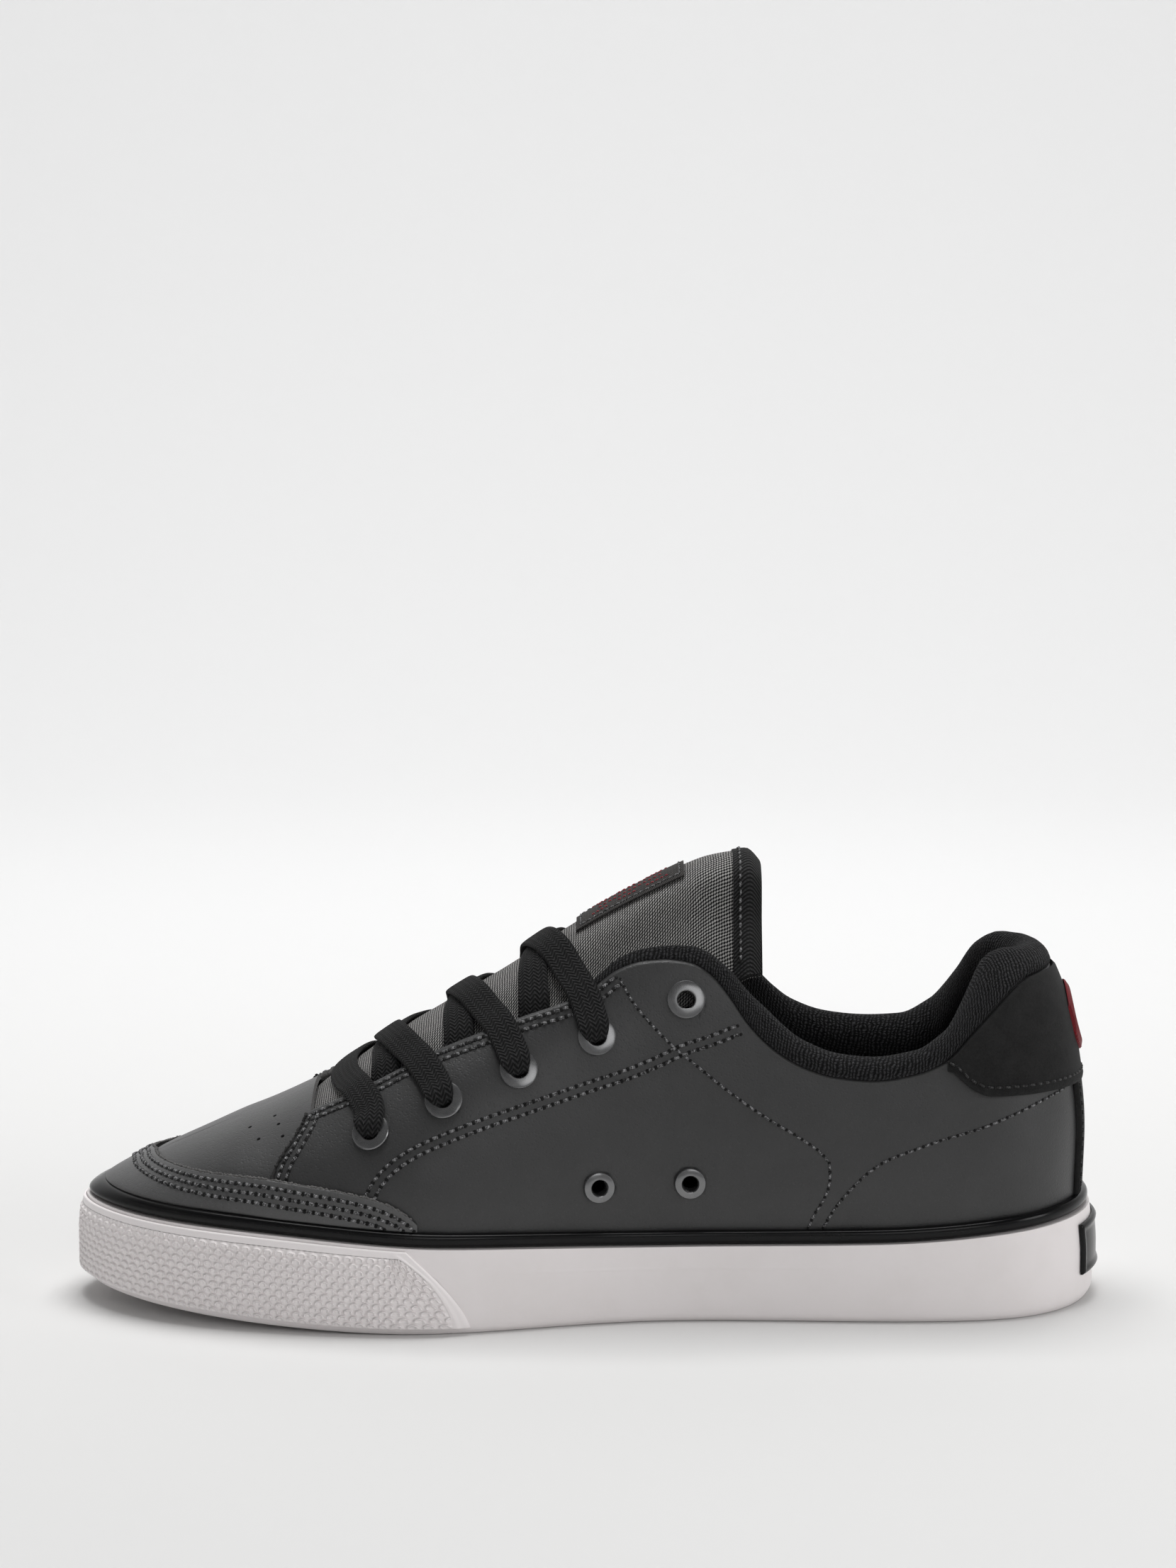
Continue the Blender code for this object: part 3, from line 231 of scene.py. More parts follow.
# Its section: share of the rise above the edge or of the depth below it, and share of the pad inwards
COLLAR_SECTION = (
    (0.00, -0.02), (0.45, -0.11), (0.88, 0.12), (1.00, 0.50), (0.72, 0.92),
    (-0.25, 1.00), (-0.70, 0.62), (-1.00, 0.12),
)
# Eyelets and vents from the toe end up: shares of LENGTH, and of INSTEP_RISE over SIDEWALL_HEIGHT
EYELETS = table(
    "along height",
    (0.709, 0.340), (0.639, 0.432), (0.567, 0.513), (0.492, 0.600), (0.406, 0.700),
)
VENTS = table("along height", (0.490, 0.176), (0.402, 0.181))
# Perforations of the vamp, from above, and seams seen from the side, in millimetres
PINHOLES = ((202.3, 15.4), (199.2, 24.2), (195.2, 14.4), (193.7, 20.7), (192.1, 27.2))
EYESTAY_SEAM = (
    (167.7, 38.5), (165.2, 43.2), (160.3, 48.4), (153.5, 52.7), (143.9, 56.8), (134.2, 60.3), (124.5, 63.3),
    (114.7, 66.3), (105, 69.3), (94.4, 72.5), (84.4, 76.4), (78.4, 79.2), (69.3, 82.1), (62, 84.9),
)
SIDE_SEAM = (
    (95.4, 97.4), (91.4, 90.9), (85.4, 84.1), (80.4, 79.2), (74.3, 74.3), (64.3, 66.3), (54.2, 59.3),
    (44.2, 53.3), (38.1, 48.9), (35.6, 45.3), (35.6, 41.1), (37, 36), (40, 30.8), (41.6, 26.8),
)
HEEL_SEAM = (
    (37.3, 26.8), (36, 29.5), (34, 32.9), (29, 39.1), (24.1, 43.8), (19.1, 47), (14.1, 49), (4.1, 52.5),
    (-6.1, 55.3), (-16.3, 58.8), (-26, 62.2), (-32.5, 64.0),
)
# Plain red lines of the label: shares of its length from and to, and metres across
LABEL_LINES = (
    (0.14, 0.36, 0.0044), (0.44, 0.62, 0.0044), (0.70, 0.86, 0.0044), (0.20, 0.80, 0.0018),
    (0.20, 0.80, -0.0018), (0.14, 0.36, -0.0044), (0.44, 0.62, -0.0044), (0.70, 0.86, -0.0044),
)
# Area lights: where they are, what they look at, their size and their power
LIGHTS = table(
    "name at toward size power",
    ("overhead", (0.10, -0.24, 1.42), (0.10, 0.0, 0.0), 0.9, 17.6),
    ("front", (-0.30, 1.60, 0.90), (0.10, 0.0, 0.05), 0.7, 3.2),
    ("heel", (-1.20, 0.60, 0.55), (0.00, 0.0, 0.04), 0.6, 4.3),
    ("back", (0.10, -0.75, 1.55), (0.10, -1.6, 0.95), 1.4, 5.3),
)
WORLD_LIGHT = 0.10
CHANCE = np.random.default_rng(7)


def unit(vectors):
    return vectors / np.linalg.norm(vectors, axis=-1, keepdims=True)


def run_along(points):
    """Distances run along a line of points."""
    return np.concatenate([[0], np.cumsum(np.linalg.norm(np.diff(points, axis=0), axis=1))])


def sample(at, run, rows):
    """Rows between the rows that lie at these runs."""
    return np.stack([np.interp(at, run, column) for column in np.asarray(rows).T], axis=1)


def ramp(value, start, width):
    """From 0 to 1 over a width."""
    return float(np.clip((value - start) / width, 0, 1))


def hill(value, middle, width):
    return np.exp(-((value - middle) / width) ** 2)


def soften(blend):
    return blend * blend * (3 - 2 * blend)


def hermite(t, start, leave, end, arrive):
    """A cubic between two values, with its slopes there."""
    first = (2 * t**3 - 3 * t**2 + 1) * start + (t**3 - 2 * t**2 + t) * leave
    return first + (3 * t**2 - 2 * t**3) * end + (t**3 - t**2) * arrive


@lru_cache(None)
def knots(rows, name):
    """Places, values, slopes and steps of a monotone cubic through one column of a table."""
    x = np.array([row.along for row in rows])
    y = np.array([getattr(row, name) for row in rows])
    step = np.diff(x)
    rise = np.diff(y) / step
    slope = np.concatenate([rise[:1], np.zeros(len(x) - 2), rise[-1:]])
    same_way = rise[:-1] * rise[1:] > 0
    left, right = 2 * step[1:] + step[:-1], step[1:] + 2 * step[:-1]
    before, after = (np.where(same_way, part, 1.0) for part in (rise[:-1], rise[1:]))
    slope[1:-1] = np.where(same_way, (left + right) / (left / before + right / after), 0.0)
    return x, y, slope, step


def smooth(rows, along, name):
    """Value of one column of a table at these places."""
    x, y, slope, step = knots(rows, name)
    at = np.clip(along, x[0], x[-1])
    i = np.clip(np.searchsorted(x, at, side="right") - 1, 0, len(x) - 2)
    return hermite((at - x[i]) / step[i], y[i], slope[i] * step[i], y[i + 1], slope[i + 1] * step[i])


def closed_spline(points, count):
    """A closed curve with smooth curvature through the points, sampled at count places."""
    size = len(points)
    chord = np.linalg.norm(np.roll(points, -1, axis=0) - points, axis=1)
    matrix, right = np.zeros((size, size)), np.zeros((size, 2))
    for i in range(size):
        before, after, following = chord[i - 1], chord[i], (i + 1) % size
        matrix[i, i - 1], matrix[i, i], matrix[i, following] = after, 2 * (before + after), before
        into = after * (points[i] - points[i - 1]) / before
        right[i] = 3 * (into + before * (points[following] - points[i]) / after)
    slope = np.linalg.solve(matrix, right)
    run = np.concatenate([[0], np.cumsum(chord)])
    at = np.linspace(0, run[-1], count, endpoint=False)
    i = np.clip(np.searchsorted(run, at, side="right") - 1, 0, size - 1)
    following, length = (i + 1) % size, chord[i][:, None]
    t = (at - run[i])[:, None] / length
    return hermite(t, points[i], slope[i] * length, points[following], slope[following] * length)


def inset(curve, distance):
    """The closed curve, which runs clockwise from above, moved inwards by a distance."""
    along = unit(np.roll(curve, -1, axis=0) - np.roll(curve, 1, axis=0))
    return curve + distance * np.stack([along[:, 1], -along[:, 0]], axis=1)


def share(x):
    return x / LENGTH + HEEL_CENTRE


def place(along):
    return (along - HEEL_CENTRE) * LENGTH


SOLE = closed_spline(np.array(OUTLINE) * (LENGTH, BALL_WIDTH), 1440) - (HEEL_CENTRE * LENGTH, 0)
CURVES = {"sole": SOLE, "feather": inset(SOLE, SIDEWALL_THICKNESS)}


def floor_line(x):
    """Height of the sole's underside: flat under heel and ball, then rising to the toe."""
    return TOE_SPRING * np.clip((share(x) - 0.66) / 0.34, 0, None) ** 1.6


def sidewall_top(x):
    return floor_line(x) + SIDEWALL_HEIGHT * smooth(SIDEWALL, share(x), "height")


def sole_inside(x):
    """Height of the floor inside the sole's cup."""
    return floor_line(x) + SOLE_FLOOR


def upper_height(value):
    return SIDEWALL_HEIGHT + INSTEP_RISE * value


def topline(side):
    return lambda x: upper_height(smooth(TOPLINE, share(x), "medial" if side > 0 else "lateral"))


def height_line(rows):
    return lambda x: upper_height(smooth(rows, share(x), "height"))


def axis_offset(x):
    """How far the last's long axis lies to the medial side."""
    along = (x - place(HEEL_POLE)) / (place(TOE_POLE) - place(HEEL_POLE))
    return POLE_OFFSET * BALL_WIDTH * np.clip(along, 0, 1)


@lru_cache(None)
def branch(which, side):
    """The medial (side 1) or lateral (side -1) half of a curve, from its back to its front."""
    curve = CURVES[which]
    back, front = curve[:, 0].argmin(), curve[:, 0].argmax()
    turned, turn = np.roll(curve, -back, axis=0), (front - back) % len(curve)
    return turned[: turn + 1] if side > 0 else turned[turn:][::-1]


def side_offset(which, x, side):
    """Distance of a curve's half from y = 0."""
    half = branch(which, side)
    return np.interp(x, half[:, 0], side * half[:, 1])


class Skin:
    """The last's skin in one column: points by the distance run along it from the sole's inside floor."""

    def __init__(self, column, flat):
        self.column, self.flat = column, flat
        tangent = np.gradient(flat, axis=0)
        tangent[-1] = (-1, 0)
        tangent = unit(tangent)
        self.normal = np.stack([tangent[:, 1], -tangent[:, 0]], axis=1)
        self.run = run_along(flat)
        self.length = float(self.run[-1])

    def at(self, run, lift=0.0):
        """Points at distances along the skin, lifted off it by some distance."""
        run = np.atleast_1d(run)
        flat, normal = sample(run, self.run, self.flat), sample(run, self.run, self.normal)
        flat = flat + np.broadcast_to(lift, run.shape)[:, None] * normal
        return np.column_stack([self.column.axis + flat[:, :1] * self.column.way, flat[:, 1]])

    def up_to(self, line):
        """Where the skin first rises above a height, or above a line, which is a function of x."""
        x = self.column.axis[0] + self.flat[:, 0] * self.column.way[0]
        over = self.flat[:, 1] - (line(x) if callable(line) else line)
        above = np.nonzero(over > 0)[0]
        if len(above) == 0:
            return self.length
        i = max(int(above[0]), 1)
        part = np.clip(-over[i - 1] / (over[i] - over[i - 1]), 0, 1)
        return float(self.run[i - 1] + part * (self.run[i] - self.run[i - 1]))

    def within(self, distance):
        """Where the skin comes this close to the axis, over its widest place."""
        widest = int(self.flat[:, 0].argmax())
        return float(np.interp(-distance, -self.flat[widest:, 0], self.run[widest:]))


class Column:
    """A vertical half-plane of the last, from its long axis outward."""

    def __init__(self, x, side, angle=None):
        self.x, self.side, self.fan = x, side, angle is not None
        self.axis = np.array([x, float(axis_offset(x))])
        self.angle = side * math.pi / 2 if angle is None else angle
        self.way = np.array([math.cos(self.angle), math.sin(self.angle)])

    def reach(self, which):
        """Distance from the axis to a curve."""
        if not self.fan:
            return float(side_offset(which, self.x, self.side)) - self.side * float(self.axis[1])
        away = CURVES[which] - self.axis
        angles = np.arctan2(away[:, 1], away[:, 0])
        order = np.argsort(angles)
        far = np.linalg.norm(away, axis=1)[order]
        return float(np.interp(self.angle, angles[order], far, period=2 * math.pi))

    @cached_property
    def sole(self):
        return self.reach("sole")

    @cached_property
    def feather(self):
        return self.reach("feather")

    @cached_property
    def wall_ends(self):
        """Lowest and highest point of the sole's wall."""
        edge = self.at(self.sole, 0)[0]
        return float(floor_line(edge)), float(sidewall_top(edge))

    @cached_property
    def last(self):
        return self.skin()

    @cached_property
    def rim(self):
        """Where the last leaves the sole's cup."""
        return self.last.up_to(sidewall_top)

    @cached_property
    def edge(self):
        """Where the last crosses the topline."""
        return self.last.up_to(topline(self.side))

    @cached_property
    def edge_point(self):
        return self.last.at(self.edge)[0]

    @cached_property
    def cut(self):
        """Where the upper's wall ends: at its topline, or beside the vamp at the throat's corner."""
        if share(self.x) >= THROAT_FRONT - 1e-6:
            return self.last.within(corner_share(self.side) * self.feather)
        return self.edge

    def at(self, distance, height):
        """Point at a distance from the axis."""
        plan = self.axis + self.way * distance
        return (float(plan[0]), float(plan[1]), float(height))

    def skin(self, crown=None):
        """The last's skin here. crown, a function of the share along, replaces the last's own crown."""
        foot = self.at(self.feather, 0)[0]
        widest = upper_height(float(smooth(SECTIONS, share(foot), "widest")))
        bulge = BULGE * float(smooth(SECTIONS, share(foot), "bulge"))
        low, top = float(sole_inside(foot)) + GAP, float(sidewall_top(foot))
        wall = [(self.feather, z) for z in np.linspace(low, top, 6, endpoint=False)]
        for t in np.linspace(0, 1, 8, endpoint=False):
            wall.append((self.feather + bulge * math.sin(t * math.pi / 2), top + (widest - top) * t))
        turn, wide = np.linspace(0, math.pi / 2, 64), self.feather + bulge
        distance = wide * np.cos(turn)
        for _ in range(4):
            along = share(self.axis[0] + self.way[0] * distance)
            distance = wide * np.cos(turn) ** (2 / smooth(SECTIONS, along, "side"))
        peak = smooth(SECTIONS, along, "crown") if crown is None else crown(along)
        height = widest + (upper_height(peak) - widest) * np.sin(turn) ** (2 / smooth(SECTIONS, along, "top"))
        return Skin(self, np.concatenate([np.array(wall), np.stack([distance, height], axis=1)]))


@lru_cache(None)
def corner_share(side):
    """Where the throat's front corner is, as a share of the reach from the axis."""
    column = Column(place(THROAT_FRONT), side)
    return abs(column.edge_point[1] - column.axis[1]) / column.feather


def tongue_crown(along):
    return smooth(TONGUE, along, "crown")


def tongue_side(along, side, across):
    """The tongue's skin, runs along it and how far its face is inside it, for shares of its half width."""
    ridge, inset_by, spread = (float(smooth(TONGUE, along, name)) for name in ("ridge", "inset", "spread"))
    column = Column(place(along), side)
    skin = column.skin(crown=tongue_crown)
    runs = np.array([skin.within(a * spread * column.feather) for a in across])
    runs = np.where(np.array(across) < 1e-9, skin.length, runs)
    blend = soften(np.clip((np.array(across) * spread - 0.30) / 0.28, 0, 1))
    return skin, runs, 0.001 * (ridge + (inset_by - ridge) * blend)


def cover(x, y):
    """Height of what the lace lies on: the tongue, and the eyestays where it is past their edges."""
    side = 1 if y > axis_offset(x) else -1
    column = Column(x, side)
    distance = abs(y - column.axis[1])
    if distance >= abs(column.edge_point[1] - column.axis[1]) - 0.001:
        return float(column.last.at(column.last.within(distance))[0][2])
    spread = float(smooth(TONGUE, share(x), "spread"))
    tongue, runs, sink = tongue_side(share(x), side, [distance / (column.feather * spread)])
    return float(tongue.at(runs, -sink)[0][2])


def taut(points):
    """Heights of a cord that is pulled over a line of points."""
    run = run_along(points[:, :2])
    hull = [0]
    for i in range(1, len(run)):
        while len(hull) > 1:
            a, b = hull[-2:]
            rises = points[[b, i], 2] - points[a, 2]
            if rises[0] * (run[i] - run[a]) > rises[1] * (run[b] - run[a]):
                break
            hull.pop()
        hull.append(i)
    return np.interp(run, run[hull], points[hull, 2])


def ring(mid, vamp, heel, toe):
    """Columns of the last: up the medial side from the heel's back to the toe's tip, and back."""
    places = list(np.linspace(place(HEEL_POLE), place(THROAT_FRONT), mid, endpoint=False))
    places += list(np.linspace(place(THROAT_FRONT), place(TOE_POLE), vamp + 1))
    quarter = math.pi / 2
    found = [Column(places[0], 1, math.pi - quarter * k / heel) for k in range(heel)]
    found += [Column(x, 1) for x in places]
    for k in range(1, 2 * toe):
        found.append(Column(places[-1], 1 if k < toe else -1, quarter - quarter * k / toe))
    found += [Column(x, -1) for x in reversed(places)]
    return found + [Column(places[0], -1, -quarter - quarter * k / heel) for k in range(1, heel)]


def behind(width, which, count):
    """Columns behind the heel, evenly across a width, and their shares of it from -1 to 1."""
    turn = math.asin(width / 2 / Column(place(HEEL_POLE), 1, math.pi).reach(which))
    return [(t, Column(place(HEEL_POLE), 1, math.pi + turn * t)) for t in np.linspace(-1, 1, count)]


def rear(listed, front):
    half = len(listed) // 2
    return [c for c in listed[half:] + listed[:half] if share(c.x) <= front + 1e-6]


def fore(listed, back):
    return [c for c in listed if share(c.x) >= back - 1e-6]


RING = ring(130, 22, 36, 48)


def lay(skin, run, lift=0.0):
    """Points on a column's skin, which follow the leather's slight unevenness."""
    x, y, z = (skin.at(run, 0.0) * 1000).T
    wave = np.sin(x / 7.1 + 1.3 * np.sin(z / 9.0) + np.where(y > 0, 0.4, 2.1))
    wave = wave + 0.8 * np.sin(z / 5.3 + x / 23.0) + 0.6 * np.sin(x / 3.9 - z / 6.7)
    return skin.at(run, lift + RIPPLE * wave / 2.4)


def grid_mesh(name, rows, around=False, closed=False, seconds=(), chart=None):
    """A mesh from rows of points with its UV map in metres: U from row to row, V along a row from its middle.

    around joins the last row to the first. closed closes each row and caps the ends. seconds names the places
    along a row whose faces take the second material. chart gives every point its own place on the UV map.
    """
    rows = np.asarray(rows, float)
    n, m = rows.shape[:2]
    steps = np.linalg.norm(np.diff(np.concatenate([rows, rows[:1]]), axis=0), axis=2).mean(axis=1)
    u = np.concatenate([[0], np.cumsum(steps)])
    steps = np.linalg.norm(np.diff(np.concatenate([rows, rows[:, :1]], axis=1), axis=1), axis=2)
    v = np.concatenate([np.zeros((n, 1)), np.cumsum(steps, axis=1)], axis=1)
    v -= v[:, m // 2][:, None]
    i, j = np.meshgrid(np.arange(n if around else n - 1), np.arange(m if closed else m - 1), indexing="ij")
    i, j = i.ravel(), j.ravel()
    corners = [(i, j), (i + 1, j), (i + 1, j + 1), (i, j + 1)]
    faces = np.stack([(a % n) * m + b % m for a, b in corners], axis=1).tolist()
    if chart is None:
        uv = [np.stack([u[a], v[a % n, b]], axis=1) for a, b in corners]
    else:
        uv = [chart[a % n, b % m] for a, b in corners]
    uv = np.stack(uv, axis=1).reshape(-1, 2)
    if closed and not around:
        faces += [list(range(m)), list(range((n - 1) * m, n * m))[::-1]]
        uv = np.concatenate([uv, np.zeros((2 * m, 2))])
    index = np.zeros(len(faces), np.int32)
    index[: len(j)][np.isin(j, seconds)] = 1
    return settle(raw_mesh(name, rows.reshape(-1, 3).tolist(), faces, uv, index), closed)


def raw_mesh(name, verts, faces, uv, index):
    mesh = bpy.data.meshes.new(name)
    mesh.from_pydata(verts, [], faces)
    mesh.uv_layers.new(name="UVMap").data.foreach_set("uv", np.array(uv, np.float32).ravel())
    mesh.polygons.foreach_set("material_index", np.array(index, np.int32))
    return mesh


def settle(mesh, closed=True, sharp=50):
    """Welds a mesh, drops collapsed faces, turns its faces out, and shades it smooth."""
    made = bmesh.new()
    made.from_mesh(mesh)
    bmesh.ops.remove_doubles(made, verts=made.verts, dist=2e-6)
    bmesh.ops.dissolve_degenerate(made, edges=made.edges, dist=1e-7)
    bmesh.ops.recalc_face_normals(made, faces=made.faces)
    if not closed:
        inside = Vector((place(0.5), 0, SIDEWALL_HEIGHT))
        if sum(f.normal.dot(f.calc_center_median() - inside) * f.calc_area() for f in made.faces) < 0:
            bmesh.ops.reverse_faces(made, faces=made.faces)
    made.to_mesh(mesh)
    made.free()
    mesh.shade_smooth()
    mesh.set_sharp_from_angle(angle=math.radians(sharp))
    return mesh


def slab(name, outlines):
    """A mesh from loops, which have one point for each column, stacked up and closed below and above."""
    mesh = bmesh.new()
    layer = mesh.loops.layers.uv.new("UVMap")
    made = [[mesh.verts.new(point) for point in loop] for loop in outlines]
    count = len(made[0])
    for low, high in zip(made, made[1:]):
        for i in range(count):
            mesh.faces.new((low[i], low[(i + 1) % count], high[(i + 1) % count], high[i]))
    for verts in (made[0], made[-1]):
        for i in range(count // 2):
            face = [verts[i], verts[i + 1], verts[count - i - 1], verts[(count - i) % count]]
            mesh.faces.new(list(dict.fromkeys(face)))
    for face in mesh.faces:
        for loop in face.loops:
            loop[layer].uv = loop.vert.co.xy
    data = bpy.data.meshes.new(name)
    mesh.to_mesh(data)
    mesh.free()
    return settle(data, sharp=38)


def link(obj):
    bpy.context.scene.collection.objects.link(obj)
    return obj


def piece(mesh, looks, slot, *nodes):
    """Puts a mesh in the scene under its name with its materials, in the place of some CAD nodes."""
    obj = link(bpy.data.objects.new(mesh.name, mesh))
    for look in looks if isinstance(looks, list) else [looks]:
        mesh.materials.append(look)
    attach(obj, "root")
    if nodes:
        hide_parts(*nodes)
    return obj


def wall(obj, thickness):
    """Gives an open surface its wall inwards, with its lining and its cut edge in their own materials."""
    shell = obj.modifiers.new("Wall", "SOLIDIFY")
    shell.thickness = thickness
    shell.offset = -1.0
    shell.use_even_offset = True
    shell.use_quality_normals = True
    shell.material_offset = 1
    shell.material_offset_rim = 2


def carve(obj, cutter, name):
    """Cuts a bmesh out of an object for good."""
    data = bpy.data.meshes.new(name)
    cutter.to_mesh(data)
    cutter.free()
    tool = link(bpy.data.objects.new(name, data))
    boolean = obj.modifiers.new(name, "BOOLEAN")
    boolean.object = tool
    boolean.solver = "EXACT"
    bpy.context.view_layer.update()
    obj.data = bpy.data.meshes.new_from_object(obj.evaluated_get(bpy.context.evaluated_depsgraph_get()))
    obj.modifiers.clear()
    bpy.data.objects.remove(tool, do_unlink=True)
    obj.data.set_sharp_from_angle(angle=math.radians(38))


def overlay(name, spans, low, high, looks, slot, *nodes, count=24, relief=None):
    """A layer over the skin with rounded edges: each span is a skin and the runs where it starts and ends.

    relief adds to its height, from the share along the spans and the shares across them.
    """
    t, edge, rows = np.linspace(0, 1, count), 0.00035, []
    for k, (skin, start, end) in enumerate(spans):
        runs = start + (end - start) * t
        top = high + relief(k / (len(spans) - 1), t)
        near = np.minimum(runs - start, end - runs)
        dip = np.clip(1 - near / edge, 0, 1) ** 2 * edge + (edge if k in (0, len(spans) - 1) else 0)
        outer = lay(skin, runs, top - dip)
        rows.append(np.concatenate([outer, lay(skin, runs[:: count // 6][::-1], low)]))
    seconds = (count - 1, len(rows[0]) - 1)
    return piece(grid_mesh(name, rows, closed=True, seconds=seconds), looks, slot, *nodes)


def skin_tree():
    rows = []
    for column in RING:
        rows.append(lay(column.last, np.linspace(column.rim - 0.004, column.last.length, 90)))
    rows = np.array(rows)
    n, m = rows.shape[:2]
    faces = [(i * m + j, (i + 1) % n * m + j, (i + 1) % n * m + j + 1, i * m + j + 1)
             for i in range(n) for j in range(m - 1)]
    return BVHTree.FromPolygons(rows.reshape(-1, 3).tolist(), faces)


LAST = skin_tree()


def outward(hit, normal):
    """A hit on the last and its normal, turned outwards."""
    hit, normal = np.array(hit), np.array(normal)
    return hit, normal * math.copysign(1, normal.dot(hit - np.array((place(0.5), 0, 0.03))))


def nearest(point):
    return outward(*LAST.find_nearest(Vector(point))[:2])


def on_side(x, z, side):
    """Point and normal of the last where a sideways look meets it."""
    hit, normal, _, _ = LAST.ray_cast(Vector((x, side * 0.2, z)), Vector((0, -side, 0)))
    return nearest((x, side * 0.03, z)) if hit is None else outward(hit, normal)


def resample(points, pitch):
    """Points a whole number of near-pitch steps apart along a polyline."""
    run = run_along(np.array(points))
    return sample(np.linspace(0, run[-1], max(2, int(round(run[-1] / pitch)) + 1)), run, points)


def curve_on(points, side, samples=12):
    """A smooth line on the last through (x, z) places, in millimetres, seen from one side."""
    flat = np.array(points, float) / 1000
    run = run_along(flat)
    marks = table("along x z", *np.column_stack([run, flat]).tolist())
    at = np.linspace(0, run[-1], samples * len(points))
    return np.array([on_side(x, z, side)[0] for x, z in zip(smooth(marks, at, "x"), smooth(marks, at, "z"))])


def beside(line, distance):
    """The line moved over the last, to the left of its run as seen from outside."""
    moved = []
    for point, way in zip(line, np.gradient(line, axis=0)):
        across = np.cross(nearest(point)[1], way)
        moved.append(nearest(point + across / max(np.linalg.norm(across), 1e-9) * distance)[0])
    return np.array(moved)


# The stitches, and the places of their other threads and their needle holes, which are painted shade, among
# the mesh's materials
SEAMS = []
RED_THREAD = 1
PAINTED_HOLE_SHADE_INDEX = 2
BLACK_SEAM = 3


def stitch(points, lift=0.0, thread=THREAD_RADIUS, colour=0, normal=None):
    """A row of stitches from point to point."""
    for a, b in zip(points, points[1:]):
        out = nearest((a + b) / 2)[1] if normal is None else normal
        SEAMS.append((a, b, out, lift, thread, colour))


def sew(line, direct=False, **look):
    """Stitches along a line on the last, or direct in the air beside it."""
    points = resample(line, STITCH_PITCH)
    stitch(points if direct else np.array([nearest(p)[0] for p in points]), **look)


def sew_all():
    """All stitches in one mesh: each a thread that dips into its two needle holes, drawn as black discs of
    painted shade.
    """
    rings, sides = 7, 6
    t = np.linspace(-1, 1, rings)
    turn = np.arange(sides) * 2 * math.pi / sides
    verts, faces, uvs, index = [], [], [], []
    for a, b, normal, lift, thread, colour in SEAMS:
        slant = unit(np.cross(normal, b - a)) * 0.45 * thread
        a, b = a + slant, b - slant
        length, way = np.linalg.norm(b - a), unit(b - a)
        across = unit(np.cross(normal, way))
        normal = np.cross(way, across)
        base, centre = len(verts), (a + b) / 2 + normal * lift
        for q in t:
            radius = thread * (1 - 0.45 * abs(q) ** 3)
            middle = centre + way * q * length * 0.43 + normal * thread * (0.75 - 2.1 * abs(q) ** 4)
            for w in turn:
                verts.append(middle + across * radius * 1.15 * math.cos(w) + normal * radius * math.sin(w))
        for i in range(rings - 1):
            low, high = t[i] * length / 2, t[i + 1] * length / 2
            for j in range(sides):
                here, k = base + i * sides, (j + 1) % sides
                faces.append((here + j, here + k, here + sides + k, here + sides + j))
                uvs += [(low, j / sides), (low, (j + 1) / sides), (high, (j + 1) / sides), (high, j / sides)]
        faces.append(tuple(base + j for j in range(sides))[::-1])
        faces.append(tuple(base + (rings - 1) * sides + j for j in range(sides)))
        uvs += [(0, 0)] * 2 * sides
        index += [colour] * ((rings - 1) * sides + 2)
        # Painted shade: a black disc with a skirt at each end of a stitch stands in for the shaded needle
        # hole.
        for end in (a, b):
            hole, spot = len(verts), end + normal * (lift + 0.00006)
            for w in turn:
                out = (across * math.cos(w) + way * math.sin(w)) * thread
                verts += [spot + out * 1.35, spot + out * 1.6 - normal * 0.0004]
            faces.append(tuple(hole + 2 * j for j in range(sides)))
            for j in range(0, 2 * sides, 2):
                faces.append((hole + j, hole + j + 1, *(hole + (j + k) % (2 * sides) for k in (3, 2))))
            uvs += [(0, 0)] * (sides + 4 * sides)
            index += [PAINTED_HOLE_SHADE_INDEX] * (1 + sides)
    mesh = raw_mesh("stitches", [tuple(p) for p in verts], faces, uvs, index)
    mesh.shade_smooth()
    piece(mesh, [THREAD, RED, PAINTED_HOLE_SHADE, BLACK_THREAD], "black_lace")


class Value:
    """An output in a material's nodes, which takes part in sums as a number does."""

    def __init__(self, look, socket):
        self.look, self.socket = look, socket

    def __abs__(self):
        return self.look.math("ABSOLUTE", self)

    def __add__(self, other):
        return self.look.math("ADD", self, other)

    def __sub__(self, other):
        return self.look.math("SUBTRACT", self, other)

    def __rsub__(self, other):
        return self.look.math("SUBTRACT", other, self)

    def __mul__(self, other):
        return self.look.math("MULTIPLY", self, other)

    def __truediv__(self, other):
        return self.look.math("DIVIDE", self, other)

    def cell(self):
        """Place within a cell that is 1 wide, from its middle."""
        return self.look.math("FRACT", self) - 0.5

    def odd(self):
        """0 in even cells and 1 in odd ones."""
        return self.look.math("MODULO", self.look.math("FLOOR", self), 2.0)

    def waves(self, pitch, offset=0.0):
        """Waves from 0 to 1 across a distance."""
        return self.look.math("SINE", self * (2 * math.pi / pitch) + offset) * 0.5 + 0.5


